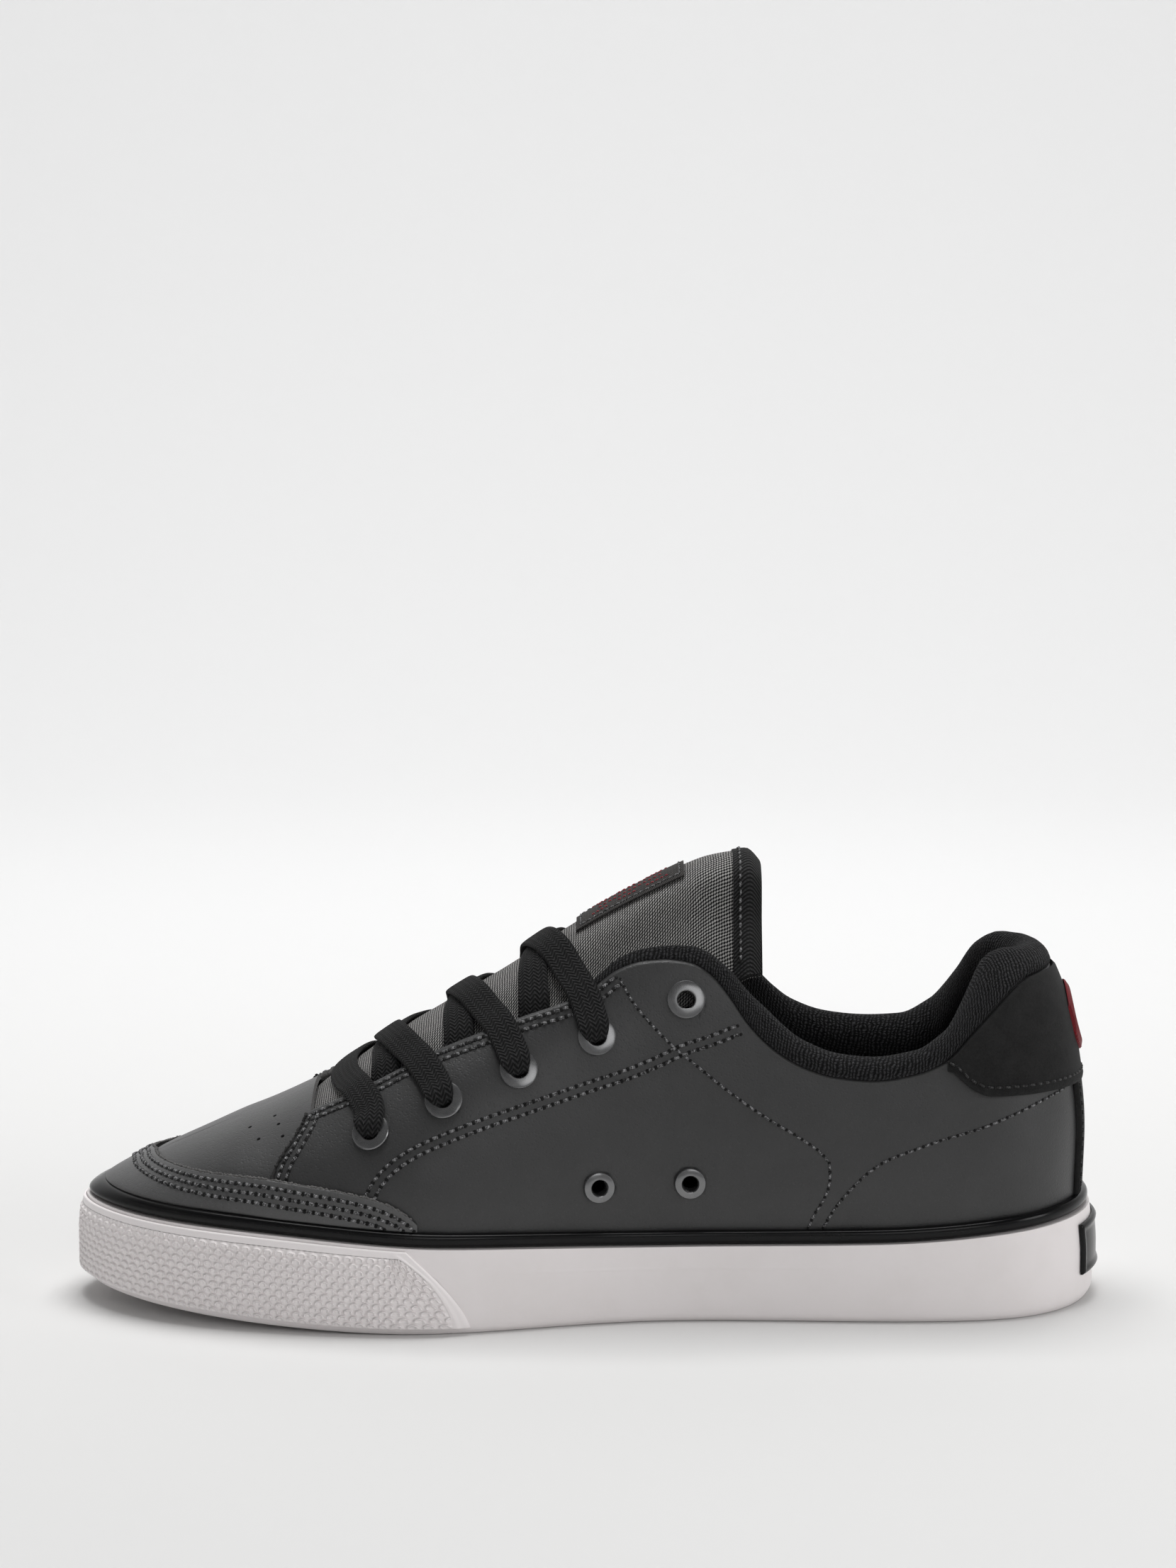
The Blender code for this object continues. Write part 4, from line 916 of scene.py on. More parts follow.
class Look:
    """A procedural material: one Principled shader, with colour, roughness and bump from its nodes."""

    def __init__(self, name, colour, roughness, **sockets):
        self.material = bpy.data.materials.new(name)
        self.material.use_nodes = True
        self.tree = self.material.node_tree
        self.shader = self.tree.nodes["Principled BSDF"]
        self.shader.inputs["Base Color"].default_value = (*colour, 1)
        self.shader.inputs["Roughness"].default_value = roughness
        for key, value in sockets.items():
            self.shader.inputs[key.replace("_", " ")].default_value = value
        self.normal = None

    def put(self, socket, value):
        if isinstance(value, Value):
            self.tree.links.new(value.socket, socket)
        else:
            socket.default_value = (*value, 1) if isinstance(value, tuple) else value

    def node(self, kind, inputs, output=0, **settings):
        node = self.tree.nodes.new("ShaderNode" + kind)
        for key, value in settings.items():
            setattr(node, key, value)
        for key, value in inputs.items():
            self.put(node.inputs[key], value)
        return Value(self, node.outputs[output])

    def math(self, operation, *values):
        return self.node("Math", dict(enumerate(values)), operation=operation)

    def parts(self, vector):
        split = self.node("SeparateXYZ", {0: vector})
        return [Value(self, output) for output in split.socket.node.outputs[:2]]

    def uv(self):
        return self.parts(self.node("UVMap", {}))

    def on_object(self):
        return self.node("TexCoord", {}, "Object")

    def noise(self, size, detail=3.0, rough=0.55):
        """Noise of a grain size in metres."""
        inputs = {"Vector": self.on_object(), "Scale": 1 / size, "Detail": detail, "Roughness": rough}
        return self.node("TexNoise", inputs, "Fac")

    def cells(self, size):
        return self.node("TexVoronoi", {"Vector": self.on_object(), "Scale": 1 / size}, "Distance")

    def ramp(self, value, low, high, to_low=0.0, to_high=1.0):
        """A smooth step of a value between two levels."""
        inputs = {"Value": value, "From Min": low, "From Max": high, "To Min": to_low, "To Max": to_high}
        return self.node("MapRange", inputs, interpolation_type="SMOOTHSTEP")

    def mix(self, factor, a, b):
        return self.node("Mix", {0: factor, 6: a, 7: b}, 2, data_type="RGBA")

    def paint(self, factor, a, b):
        self.put(self.shader.inputs["Base Color"], self.mix(factor, a, b))

    def rough(self, value):
        self.put(self.shader.inputs["Roughness"], value)

    def bump(self, height, distance, strength=1.0):
        inputs = {"Height": height, "Distance": distance, "Strength": strength}
        if self.normal:
            inputs["Normal"] = self.normal
        self.normal = self.node("Bump", inputs)
        self.put(self.shader.inputs["Normal"], self.normal)


def times(factor, colour):
    return tuple(factor * c for c in colour)


def leather_look(name, colour):
    look = Look(name, colour, 0.45, Specular_IOR_Level=0.5)
    pores, grain, cloud = look.cells(0.00085), look.noise(0.00045, 4.0, 0.65), look.noise(0.012)
    look.bump(look.noise(0.004, 2.0), 0.00012, 0.5)
    look.bump(look.ramp(pores, 0.0, 0.5) + grain * 0.7, 0.00007, 0.6)
    tone = look.mix(look.ramp(cloud, 0.3, 0.7), times(0.95, colour), times(1.05, colour))
    speck = look.ramp(look.noise(0.0006, 1.0), 0.60, 0.74)
    tone = look.mix(speck * 0.3, tone, times(1.7, colour))
    look.paint(look.ramp(pores, 0.05, 0.16, 1.0, 0.0) * 0.55, tone, times(0.35, colour))
    look.rough(look.ramp(grain, 0.2, 0.8, 0.36, 0.48))
    return look.material


def raw_look(name, dark, pale):
    look = Look(name, dark, 0.9)
    fuzz = look.noise(0.0005, 5.0, 0.8)
    look.paint(look.ramp(fuzz, 0.3, 0.7), dark, pale)
    look.bump(fuzz, 0.0003)
    return look.material


def cloth_look(name, colour, pitch):
    """A soft woven cloth: two sets of threads by its UV map."""
    look = Look(name, colour, 0.92, Sheen_Weight=0.05, Specular_IOR_Level=0.15)
    u, v = look.uv()
    height = u.waves(pitch) * v.waves(pitch, 1.2) + look.noise(pitch * 0.4, 4.0, 0.75) * 0.8
    look.bump(height, 0.00025)
    look.paint(look.ramp(height, 0.3, 1.3), times(0.5, colour), times(1.5, colour))
    return look.material


def nubuck_look(name, colour):
    look = Look(name, colour, 0.85, Sheen_Weight=0.04, Specular_IOR_Level=0.25)
    nap = look.noise(0.00055, 5.0, 0.8)
    tone = look.ramp(nap + look.noise(0.006) * 0.5, 0.45, 1.05)
    look.paint(tone, times(0.45, colour), times(1.9, colour))
    look.bump(nap, 0.00016)
    return look.material


def terry_look():
    """Looped knit: ribs across the roll, each a row of small uneven loops."""
    look = Look("black_terry", (0.006, 0.006, 0.007), 0.95, Sheen_Weight=0.05, Specular_IOR_Level=0.15)
    u, v = look.uv()
    ribs = (v * 0.18 + u + look.noise(0.0035, 2.0) * 0.0024).waves(0.00118)
    rows = (v + look.noise(0.0022, 2.0) * 0.0030).waves(0.00098)
    height = ribs * (rows * 0.62 + 0.38) * 1.25 + look.noise(0.00055, 3.0, 0.75)
    look.bump(height, 0.00062)
    look.paint(look.ramp(height, 0.55, 1.55), (0.0022, 0.0022, 0.0025), (0.046, 0.046, 0.049))
    return look.material


def canvas_look():
    """Coarse basket weave: pale slanted threads with black between them."""
    look = Look("grey_canvas", (0.11, 0.108, 0.105), 0.88, Specular_IOR_Level=0.25)
    u, v = look.uv()
    wander = (look.noise(0.005, 2.0) - 0.5) * 0.0007
    across, along = (v + wander) / 0.00103, (u + wander) / 0.00080
    a = (across + abs(along.odd() * 0.5)).cell()
    b = along.cell()
    thread = look.ramp(abs(b * 0.42 + a) * 1.15 + abs(b) * 0.95, 0.38, 0.64, 1.0, 0.0)
    fibre = look.noise(0.00028, 3.0, 0.8)
    patchy = look.ramp(look.noise(0.0016, 2.0), 0.3, 0.7, 0.80, 1.0)
    look.bump(thread + fibre * 0.35, 0.00042)
    pale = look.mix(fibre, (0.28, 0.273, 0.266), (0.68, 0.665, 0.65))
    look.paint(thread * patchy, (0.012, 0.012, 0.012), pale)
    return look.material


def lace_look():
    """Flat woven lace: columns of slanted threads that turn at each rib along it."""
    look = Look("black_lace", (0.012, 0.012, 0.013), 0.85, Specular_IOR_Level=0.2)
    u, v = look.uv()
    threads = (abs((v / 0.0029).cell()) * 0.0031 + u).waves(0.00125)
    fibre = look.noise(0.00025, 3.0, 0.8)
    height = threads * (v.waves(0.00145, 1.57) * 0.55 + 0.45)
    look.bump(height + fibre * 0.3, 0.00055)
    shade = height * look.ramp(fibre, 0.3, 0.75, 0.5, 1.0)
    look.paint(shade, (0.0025, 0.0025, 0.0027), (0.052, 0.052, 0.053))
    return look.material


def twill_look(name, dark, pale):
    look = Look(name, pale, 0.85, Specular_IOR_Level=0.2)
    u, v = look.uv()
    height = (u + v * 0.8).waves(0.00095) * (v.waves(0.0012) * 0.4 + 0.6)
    look.bump(height, 0.00032)
    look.paint(height, dark, pale)
    return look.material


def thread_look(name, colour, pale, painted_highlight_share=0.75):
    look = Look(name, colour, 0.6, Specular_IOR_Level=0.4)
    u, v = look.uv()
    twist = (v * 0.0009 + u).waves(0.0009)
    # Painted highlight: the pale colour is painted in patches near each stitch's middle, as a glint of light
    # on the thread.
    painted_glint = look.ramp(look.noise(0.0009, 2.0, 0.8), 0.40, 0.56)
    middle = look.ramp(abs(u), 0.0005, 0.0010, 1.0, 0.25)
    look.bump(twist, 0.0002)
    look.paint((twist * 0.6 + 0.4) * (painted_glint * middle) * painted_highlight_share, colour, pale)
    return look.material


def rubber_look(name, colour, roughness, dirt, depth=0.00003, spread=0.05, shine=0.4):
    look = Look(name, colour, roughness, Specular_IOR_Level=shine)
    cloud = look.noise(0.018, 4.0, 0.6)
    grain = look.noise(0.0009, 3.0, 0.7)
    tone = look.mix(look.ramp(cloud, 0.35, 0.75), colour, dirt)
    look.paint(look.ramp(grain, 0.55, 0.8) * 0.35, tone, dirt)
    look.rough(look.ramp(cloud, 0.2, 0.8, roughness - spread, roughness + spread))
    look.bump(grain, depth, 0.6)
    return look.material


def bumper_look():
    """The sole's rubber with the horseshoes of the toe bumper, by the same measure as its relief, and painted
    shade in the hollows between them.
    """
    look = Look("bumper_rubber", (0.90, 0.855, 0.855), 0.42, Specular_IOR_Level=0.4)
    u, v = look.uv()
    a, b = (u / SHOE_PITCH + (v / SHOE_ROW).odd() * 0.5).cell(), (v / SHOE_ROW).cell()
    across, up = a / 0.30, (b + 0.10) / 0.42
    away = look.math("SQRT", across * across + up * up)
    inside = look.ramp(v, 0.0002, 0.0012)
    ridge = look.ramp(abs(away - 1.0), 0.05, 0.50, 1.0, 0.0) * look.ramp(b, -0.46, -0.20) * inside
    look.bump(ridge, 0.00024)
    # Painted shade: the hollows between the horseshoe ridges are painted darker than the ridges and the
    # smooth border.
    look.paint((1.0 - ridge) * inside * 0.75, (0.96, 0.915, 0.915), (0.90, 0.855, 0.85))
    return look.material


def metal_look():
    look = Look("grey_metal", (0.135, 0.136, 0.139), 0.22, Metallic=0.75, Specular_IOR_Level=0.6)
    wear = look.noise(0.0030, 2.0)
    look.paint(look.ramp(wear, 0.4, 0.7), (0.19, 0.191, 0.194), (0.21, 0.211, 0.214))
    look.rough(look.ramp(wear, 0.2, 0.8, 0.18, 0.24))
    return look.material


def satin_look():
    """Dense embroidery: parallel threads."""
    look = Look("red_thread", (0.30, 0.010, 0.020), 0.5, Specular_IOR_Level=0.3)
    u, v = look.uv()
    threads, fibre = (v * 0.35 + u).waves(0.00045), look.noise(0.0004, 3.0, 0.8)
    look.bump(threads + fibre * 0.5, 0.00018)
    look.paint(threads * fibre, (0.08, 0.002, 0.006), (0.50, 0.014, 0.026))
    return look.material


LEATHER = leather_look("grey_leather", (0.034, 0.034, 0.0345))
# Painted sheen: a lighter copy of the grey leather for the vamp, its colour raised to stand in for the sheen
# of light on its upward faces.
VAMP_LEATHER_PAINTED_SHEEN = leather_look("vamp_leather_painted_sheen", (0.050, 0.050, 0.0505))
# Painted light: a lighter copy of the grey leather for the toe guard, brightened for the light that falls on
# its face.
GUARD_LEATHER_PAINTED_LIGHT = leather_look("guard_leather_painted_light", (0.088, 0.088, 0.0885))
RAW = raw_look("raw_edge", (0.055, 0.054, 0.053), (0.19, 0.186, 0.182))
# Painted shadow: a near-black copy of the raw edge, for the quarters' front edges, where the edge's shadow
# falls.
RAW_EDGE_PAINTED_SHADOW = raw_look("raw_edge_painted_shadow", (0.004, 0.004, 0.004), (0.030, 0.029, 0.028))
LINING = cloth_look("lining", (0.010, 0.010, 0.011), 0.0011)
NUBUCK = nubuck_look("black_nubuck", (0.0085, 0.0085, 0.0085))
TERRY = terry_look()
CANVAS = canvas_look()
LACE = lace_look()
TWILL = twill_look("black_twill", (0.003, 0.003, 0.003), (0.046, 0.046, 0.047))
LABEL = twill_look("label_twill", (0.018, 0.017, 0.017), (0.11, 0.104, 0.10))
# The pale colours of these threads are painted highlights.
THREAD = thread_look("dark_thread", (0.018, 0.018, 0.018), (0.40, 0.40, 0.41), 0.85)
BLACK_THREAD = thread_look("black_thread", (0.005, 0.005, 0.005), (0.10, 0.10, 0.10))
RED = thread_look("red_line", (0.22, 0.012, 0.02), (0.5, 0.06, 0.07))
# Painted shade: the near-black colour of the needle holes.
PAINTED_HOLE_SHADE = Look("painted_needle_hole_shade", (0.004, 0.004, 0.004), 0.95).material
SATIN = satin_look()
WHITE = rubber_look("white_rubber", (0.90, 0.855, 0.855), 0.42, (0.87, 0.825, 0.820))
BLACK = rubber_look("black_rubber", (0.004, 0.004, 0.0045), 0.22, (0.006, 0.006, 0.006), 0.00001, 0.03, 0.2)
BUMPER = bumper_look()
METAL = metal_look()
FOOTBED = cloth_look("footbed", (0.020, 0.020, 0.021), 0.0014)


def wall_point(column, up, lift=0.0):
    """Point of the sole's outer wall at a share of its height, with rounded edges."""
    tuck = SOLE_EDGE_TUCK * max(0.0, 1 - up / 0.14) ** 2 + SOLE_TOP_TUCK * max(0.0, (up - 0.55) / 0.45) ** 1.6
    low, top = column.wall_ends
    return column.at(column.sole - tuck + lift, low + (top - low) * up)


def make_sole():
    ups = (0, 0.012, 0.03, 0.055, 0.09, 0.13, 0.2, 0.3, 0.4, 0.5, 0.6, 0.66, 0.69, 0.705, SOLE_GROOVE, 0.735,
           0.75, 0.8, 0.86, 0.91, 0.95, 0.985, 1)
    loops = []
    for up in ups:
        ridge, loop = 0.00014 * hill(up, SOLE_GROOVE, 0.012), []
        for column in RING:
            x = column.at(column.sole, 0)[0]
            loop.append(wall_point(column, up, ridge * ramp(x, 0.030, 0.02) * ramp(-x, -0.130, 0.02)))
        loops.append(loop)
    loops.append([c.at(c.feather + GAP, c.wall_ends[1]) for c in RING])
    loops.append([c.at(c.feather + GAP, sole_inside(c.at(c.feather, 0)[0])) for c in RING])
    obj = piece(slab("sole", loops), WHITE, "white_rubber", "cupsole")
    mesh = bmesh.new()
    places = [GROOVE_PITCH * (k + 0.5) for k in range(-3, 3)]
    places += [place(0.655) + GROOVE_PITCH * (k + 0.5) for k in range(-4, 6)]
    for x in places:
        half = [float(side_offset("sole", x, side)) - GROOVE_MARGIN for side in (1, -1)]
        made = bmesh.ops.create_cube(mesh, size=1)["verts"]
        bmesh.ops.scale(mesh, verts=made, vec=(GROOVE_WIDTH, half[0] + half[1], 2 * GROOVE_DEPTH))
        bmesh.ops.translate(mesh, verts=made, vec=(x, (half[0] - half[1]) / 2, float(floor_line(x))))
    carve(obj, mesh, "grooves")


def make_bumper():
    heights = np.linspace(BUMPER_FOOT / SIDEWALL_HEIGHT, 0.97, 96)
    first, base = place(BAND_START), 1.4 * GAP
    backs = place(BUMPER_BACK) + (place(BUMPER_TOP_BACK) - place(BUMPER_BACK)) * heights**1.6
    slants = np.linspace(0, 1, 64, endpoint=False)
    medial, lateral = (
        [[Column(b + t * (first - b), side) for b in backs] for t in slants] for side in (1, -1)
    )
    listed = medial + [[c] * len(heights) for c in fore(ring(500, 64, 1, 226), BAND_START)] + lateral[::-1]
    flat = np.array([[wall_point(c, up) for c, up in zip(columns, heights)] for columns in listed])
    along = run_along(flat[:, len(heights) // 2])
    rows, chart = [], np.zeros((len(listed), len(heights) + 4, 2))
    for k, columns in enumerate(listed):
        from_end, outer = min(along[k], along[-1] - along[k]), []
        for j, (column, up) in enumerate(zip(columns, heights)):
            high, below_top = flat[k, j, 2] - flat[k, 0, 2], flat[k, -1, 2] - flat[k, j, 2]
            chart[k, j] = along[k], high if in_border(from_end, below_top) > 0 else 0.0
            lift = base + BUMPER_THICKNESS + bumps(along[k], high, from_end, below_top)
            lift -= 0.0004 * max(0.0, 1 - from_end / 0.0012) ** 2
            lift -= 0.00035 if j in (0, len(heights) - 1) else 0
            outer.append(wall_point(column, up, lift))
        rows.append(outer + [wall_point(columns[j], heights[j], base - 0.0002) for j in (95, 60, 30, 0)])
    mesh = grid_mesh("toe_bumper_detail", rows, closed=True, chart=chart)
    piece(mesh, BUMPER, "white_rubber", "toe_bumper")


def bumps(along, high, from_end, below_top):
    """Staggered rows of small horseshoes, open below, on the toe bumper, inside its smooth border."""
    a = (along / SHOE_PITCH + 0.5 * (math.floor(high / SHOE_ROW) % 2)) % 1 - 0.5
    b = (high / SHOE_ROW) % 1 - 0.5
    away = math.hypot(a / 0.30, (b + 0.10) / 0.42)
    ridge = hill(away, 1, 0.34) * ramp(b, -0.46, 0.22)
    inside = in_border(from_end, below_top)
    border = ramp(inside, 0, 0.0006) * ramp(high, 0.0002, 0.0006)
    rim = hill(inside, -0.0007, 0.0006) * ramp(-from_end, -0.016, 0.006)
    return 0.00062 * border * max(ridge, 0.30 * ramp(-away, -1, 0.3)) + 0.00025 * rim


def in_border(from_end, below_top):
    """Distance inside the bumper's smooth border, whose upper corners are round."""
    e, t, corner = from_end - 0.0032, below_top - 0.0020, 0.0085
    if e < corner and t < corner:
        return corner - math.hypot(corner - e, corner - t)
    return min(e, t)


def make_piping():
    turn = np.linspace(-math.pi / 2, math.pi / 2, 17)
    outs, ups = np.append(np.abs(np.cos(turn)) ** 0.62, 0), np.append(0.5 + 0.5 * np.sin(turn), 0.5)
    rows = []
    for column in RING:
        heights = column.wall_ends[1] + GAP + STRIPE_HEIGHT * ups
        row = []
        for out, height in zip(outs, heights):
            point = column.last.at(column.last.up_to(height), GAP + STRIPE_THICKNESS * out)[0]
            row.append((point[0], point[1], height))
        rows.append(row)
    piece(grid_mesh("piping_detail", rows, around=True, closed=True), BLACK, "black_rubber", "piping")


def make_badge():
    half = BADGE_HEIGHT / 2
    low, high = ((BADGE_MIDDLE + k * half) / (SIDEWALL_HEIGHT * SIDEWALL[0].height) for k in (-1, 1))
    rows = []
    for t, column in behind(BADGE_WIDTH, "sole", 90):
        row = []
        for q in np.linspace(-1, 1, 34):
            inside = min((1 - abs(t)) * BADGE_WIDTH / 2, (1 - abs(q)) * half)
            lift = 1.5 * GAP + BADGE_THICKNESS - 0.0003 * max(0, 1 - inside / 0.0004)
            lift += 0.0003 * hill(inside, 0.0010, 0.0005) - 0.00025 * ramp(inside, 0.0020, 0.0004)
            row.append(wall_point(column, low + (high - low) * (q + 1) / 2, lift))
        rows.append(row + [wall_point(column, low + (high - low) * (q + 1) / 2, GAP) for q in (1, 0, -1)])
    piece(grid_mesh("heel_badge_detail", rows, closed=True), BLACK, "black_rubber", "heel_badge")


def make_insole():
    top, loops = GAP + INSOLE_THICKNESS, []
    for up, inward in ((GAP, 0), (top - 0.2 * INSOLE_THICKNESS, 0), (top, 0.0008), (top - 0.0006, 0.006),
                       (top - 0.001, 0.014)):
        loop = []
        for column in RING:
            distance = column.feather - WALL - VAMP_STEP - 2 * GAP
            loop.append(column.at(distance - inward, sole_inside(column.at(distance, 0)[0]) + up))
        loops.append(loop)
    piece(slab("footbed", loops), FOOTBED, "black_terry", "insole")


def word(side):
    return "medial" if side > 0 else "lateral"


def eyelet_seats():
    """Every eyelet and vent by name: its centre, normal, outer radius and bore."""
    found = {}
    for number, hole in enumerate(EYELETS, 1):
        for side in (1, -1):
            seat = on_side(place(hole.along), upper_height(hole.height), side)
            found[f"eyelet_{word(side)}_{number}"] = (*seat, EYELET_RADIUS, EYELET_BORE)
    for number, hole in enumerate(VENTS, 1):
        seat = on_side(place(hole.along), upper_height(hole.height), 1)
        found[f"vent_{number}"] = (*seat, VENT_RADIUS, VENT_BORE)
    return found


SEATS = eyelet_seats()


def make_quarters():
    """The quarters, in one piece round the heel, with their sloping front edges over the vamp."""
    shares = (-1.0, -0.5, *np.linspace(0, 1, 60))
    start = place(QUARTER_END)

    def row(columns):
        points = []
        for column, f in zip(columns, shares):
            run = column.rim * (1 + f) if f < 0 else column.rim + (column.cut - column.rim) * f
            points.append(lay(column.last, run)[0])
        return points

    fronts = [place(float(smooth(QUARTER_FRONT, (6 * max(f, 0) + 1) / 7, "place"))) for f in shares]
    ends = {}
    for side in (1, -1):
        slants = [[Column(start + (x - start) * t, side) for x in fronts] for t in np.linspace(0, 1, 22)[1:]]
        ends[side] = [row(columns) for columns in slants]
    middle = [row([column] * len(shares)) for column in rear(RING, QUARTER_END)]
    mesh = grid_mesh("quarters", ends[-1][::-1] + middle + ends[1])
    made = bmesh.new()
    made.from_mesh(mesh)
    gone = []
    for face in made.faces:
        centre = np.array(face.calc_center_median())
        if any(np.linalg.norm(centre - seat[0]) < seat[3] + EYELET_TUBE + 0.0009 for seat in SEATS.values()):
            gone.append(face)
    bmesh.ops.delete(made, geom=gone, context="FACES")
    made.to_mesh(mesh)
    made.free()
    wall(piece(mesh, [LEATHER, LINING, RAW], "grey_leather", "upper"), WALL)
    return ends


def make_vamp():
    rows = []
    for column in fore(RING, THROAT_FRONT):
        rim, edge, skin = column.rim, column.cut, column.last
        runs = [[0, rim / 2], np.linspace(rim, edge, 30, endpoint=False), np.linspace(edge, skin.length, 30)]
        rows.append(lay(skin, np.concatenate(runs), -VAMP_STEP))
    # The vamp takes the lighter copy of the leather: painted sheen.
    obj = piece(grid_mesh("vamp", rows), [VAMP_LEATHER_PAINTED_SHEEN, LINING, RAW], "grey_leather")
    wall(obj, WALL - VAMP_STEP - 0.0001)
    mesh = bmesh.new()
    for x, y in PINHOLES:
        for side in (1, -1):
            above = Vector((x / 1000, side * y / 1000 + 0.002, 0.2))
            hit, normal = outward(*LAST.ray_cast(above, Vector((0, 0, -1)))[:2])
            pin = {"segments": 16, "depth": 0.005, "radius1": 0.0006, "radius2": 0.0006}
            made = bmesh.ops.create_cone(mesh, cap_ends=True, **pin)["verts"]
            turn = Vector(normal).to_track_quat("Z", "Y").to_matrix()
            bmesh.ops.rotate(mesh, verts=made, matrix=turn)
            bmesh.ops.translate(mesh, verts=made, vec=hit)
    carve(obj, mesh, "pinholes")


def fringe(name, line, radius, look):
    """The frayed fibres of a cut edge: an uneven cord along it."""
    points = resample(line, 0.00045)
    turn = np.linspace(0, 2 * math.pi, 7, endpoint=False)
    rows = []
    for point, way in zip(points, unit(np.gradient(points, axis=0))):
        across = unit(np.cross(nearest(point)[1], way))
        up = np.cross(way, across)
        size = radius * CHANCE.uniform(0.55, 1.25)
        centre = point + across * radius * CHANCE.uniform(-0.5, 0.5)
        rows.append([centre + size * (across * math.cos(t) + up * math.sin(t)) for t in turn])
    piece(grid_mesh(name, rows, closed=True), look, "grey_leather")


def make_guard():
    line, back = height_line(TOE_GUARD), place(GUARD_BACK)
    ends = [back + (place(QUARTER_END) - back) * t for t in np.linspace(0, 1, 14, endpoint=False)]
    columns = [Column(x, 1) for x in ends] + fore(RING, QUARTER_END) + [Column(x, -1) for x in ends[::-1]]
    spans, tops = [], []
    for column in columns:
        start = column.last.up_to(column.wall_ends[1] + STRIPE_HEIGHT + GAP)
        lower = 0.0030 * ramp(share(column.x), 0.72, 0.08) * ramp(-column.angle, 0, 0.7)
        end = max(column.last.up_to(lambda x: line(x) - lower), start + 0.0008)
        spans.append((column.last, start, end))
        tops.append(0.0012 - 0.0006 * soften(ramp(share(column.last.at(end)[0][0]), 0.790, 0.045)))
    overlay("guard", spans, -VAMP_STEP, 0.0, [GUARD_LEATHER_PAINTED_LIGHT, RAW], "grey_leather", "toe_guard", count=30,
            relief=lambda s, t: tops[int(round(s * (len(tops) - 1)))] + 0 * t)
    edge = [lay(skin, end, 0.6 * top)[0] for (skin, _, end), top in zip(spans[2:-2], tops[2:-2])]
    fringe("guard_edge", np.array(edge), 0.00042, RAW)
    for distance in GUARD_ROWS:
        wide = [(span, top) for span, top in zip(spans, tops) if span[2] - distance > span[1] + 0.0006]
        sew(np.array([lay(span[0], span[2] - distance, top)[0] for span, top in wide]), direct=True)


def make_heel():
    lower = height_line(HEEL_TAB)
    spans = [(c.last, c.last.up_to(lower), c.edge - 0.0002) for c in rear(RING, HEEL_POLE)]
    overlay("heel_cap", spans, 0.0001, OVERLAY + GAP, [NUBUCK, NUBUCK], "black_nubuck", "heel_tab", count=36,
            relief=lambda s, t: 0.0004 * hill(t, 0, 0.06))
    below = np.array([skin.at(start + 0.0026)[0] for skin, start, _ in spans])
    sew(below, lift=OVERLAY + GAP, thread=FINE_THREAD, colour=BLACK_SEAM)

    strips = []
    for _, column in behind(BACKSTAY_WIDTH, "feather", 40):
        low = column.wall_ends[1] + STRIPE_HEIGHT + GAP
        strips.append((column.last, column.last.up_to(low), column.last.up_to(lower) + 0.001))
    overlay("backstay_detail", strips, 0.0001, 0.0011, [NUBUCK, NUBUCK], "black_nubuck", "backstay", count=30,
            relief=lambda s, t: 0.0005 * hill(min(s, 1 - s), 0.03, 0.035) + 0 * t)
    for skin, start, end in (strips[5], strips[-6]):
        line = skin.at(np.linspace(start + 0.001, end - 0.0015, 30))
        sew(line, lift=0.0011, thread=FINE_THREAD, colour=BLACK_SEAM)

    spans = []
    for t, column in behind(PATCH_WIDTH, "feather", 60):
        half = PATCH_HEIGHT / 2 * math.sqrt(1 - (0.93 * t) ** 2)
        ends = (column.last.up_to(PATCH_MIDDLE + k * half) for k in (-1, 1))
        spans.append((column.last, *ends))

    def border(s, t):
        x = 0.93 * (2 * s - 1)
        y = (2 * t - 1) * math.sqrt(1 - x * x)
        return 0.0006 * hill((1 - np.hypot(x, y)) * PATCH_WIDTH / 2, 0.0022, 0.0014)

    top = OVERLAY + GAP + 0.7 * PATCH_THICKNESS
    overlay("patch", spans, OVERLAY, top, [SATIN, SATIN], "red_thread", "heel_patch", count=60, relief=border)


def make_collar():
    rows = []
    for column in rear(RING, COLLAR_FRONT):
        along = share(column.edge_point[0])
        rise, pad, depth = (float(smooth(COLLAR, along, name)) for name in ("rise", "pad", "depth"))
        rise, pad, depth = rise * COLLAR_RISE, pad * COLLAR_PAD, depth * COLLAR_DEPTH
        flat = []
        for up, inward in COLLAR_SECTION:
            above = (0.0002 + rise * up, -pad * inward)
            flat.append(above if up >= 0 else (depth * up, -WALL - GAP - pad * inward))
        flat += [(-0.5 * depth, -WALL - GAP), (0.0002, -WALL - GAP)]
        section = closed_spline(np.array(flat), 56)
        rows.append([lay(column.last, column.edge + run, lift)[0] for run, lift in section])
    piece(grid_mesh("collar_roll", rows, closed=True), TERRY, "black_terry", "collar")


ACROSS = list(np.linspace(1, 0, 25))
HALVES = ((1, ACROSS), (-1, ACROSS[-2::-1]))


def tongue_rows(places, thinness, out=0.0):
    """Closed sections of the tongue, squeezed to shares of its thickness and then grown outwards."""
    rows, step = [], 0.004
    for along, thin in zip(places, thinness):
        climb = (tongue_crown(along + step) - tongue_crown(along - step)) * INSTEP_RISE / (2 * step * LENGTH)
        full = TONGUE_THICKNESS * float(smooth(TONGUE, along, "thickness")) * math.hypot(1, climb)
        upper, lower = [], []
        for side, order in HALVES:
            skin, runs, sink = tongue_side(along, side, order)
            thick = full * (1 - 0.72 * np.array(order) ** 3)
            upper.append(skin.at(runs, -sink - thick * (1 - thin) / 2 + out))
            lower.append(skin.at(runs, -sink - thick * (1 + thin) / 2 - out))
        upper, lower = np.concatenate(upper), np.concatenate(lower)
        first, last = (upper[0] + lower[0]) / 2, (upper[-1] + lower[-1]) / 2
        ends = last + (last - upper[-3]) * 0.15, first + (first - upper[2]) * 0.15
        rows.append(np.concatenate([upper, [ends[0]], lower[::-1], [ends[1]]]))
    return rows


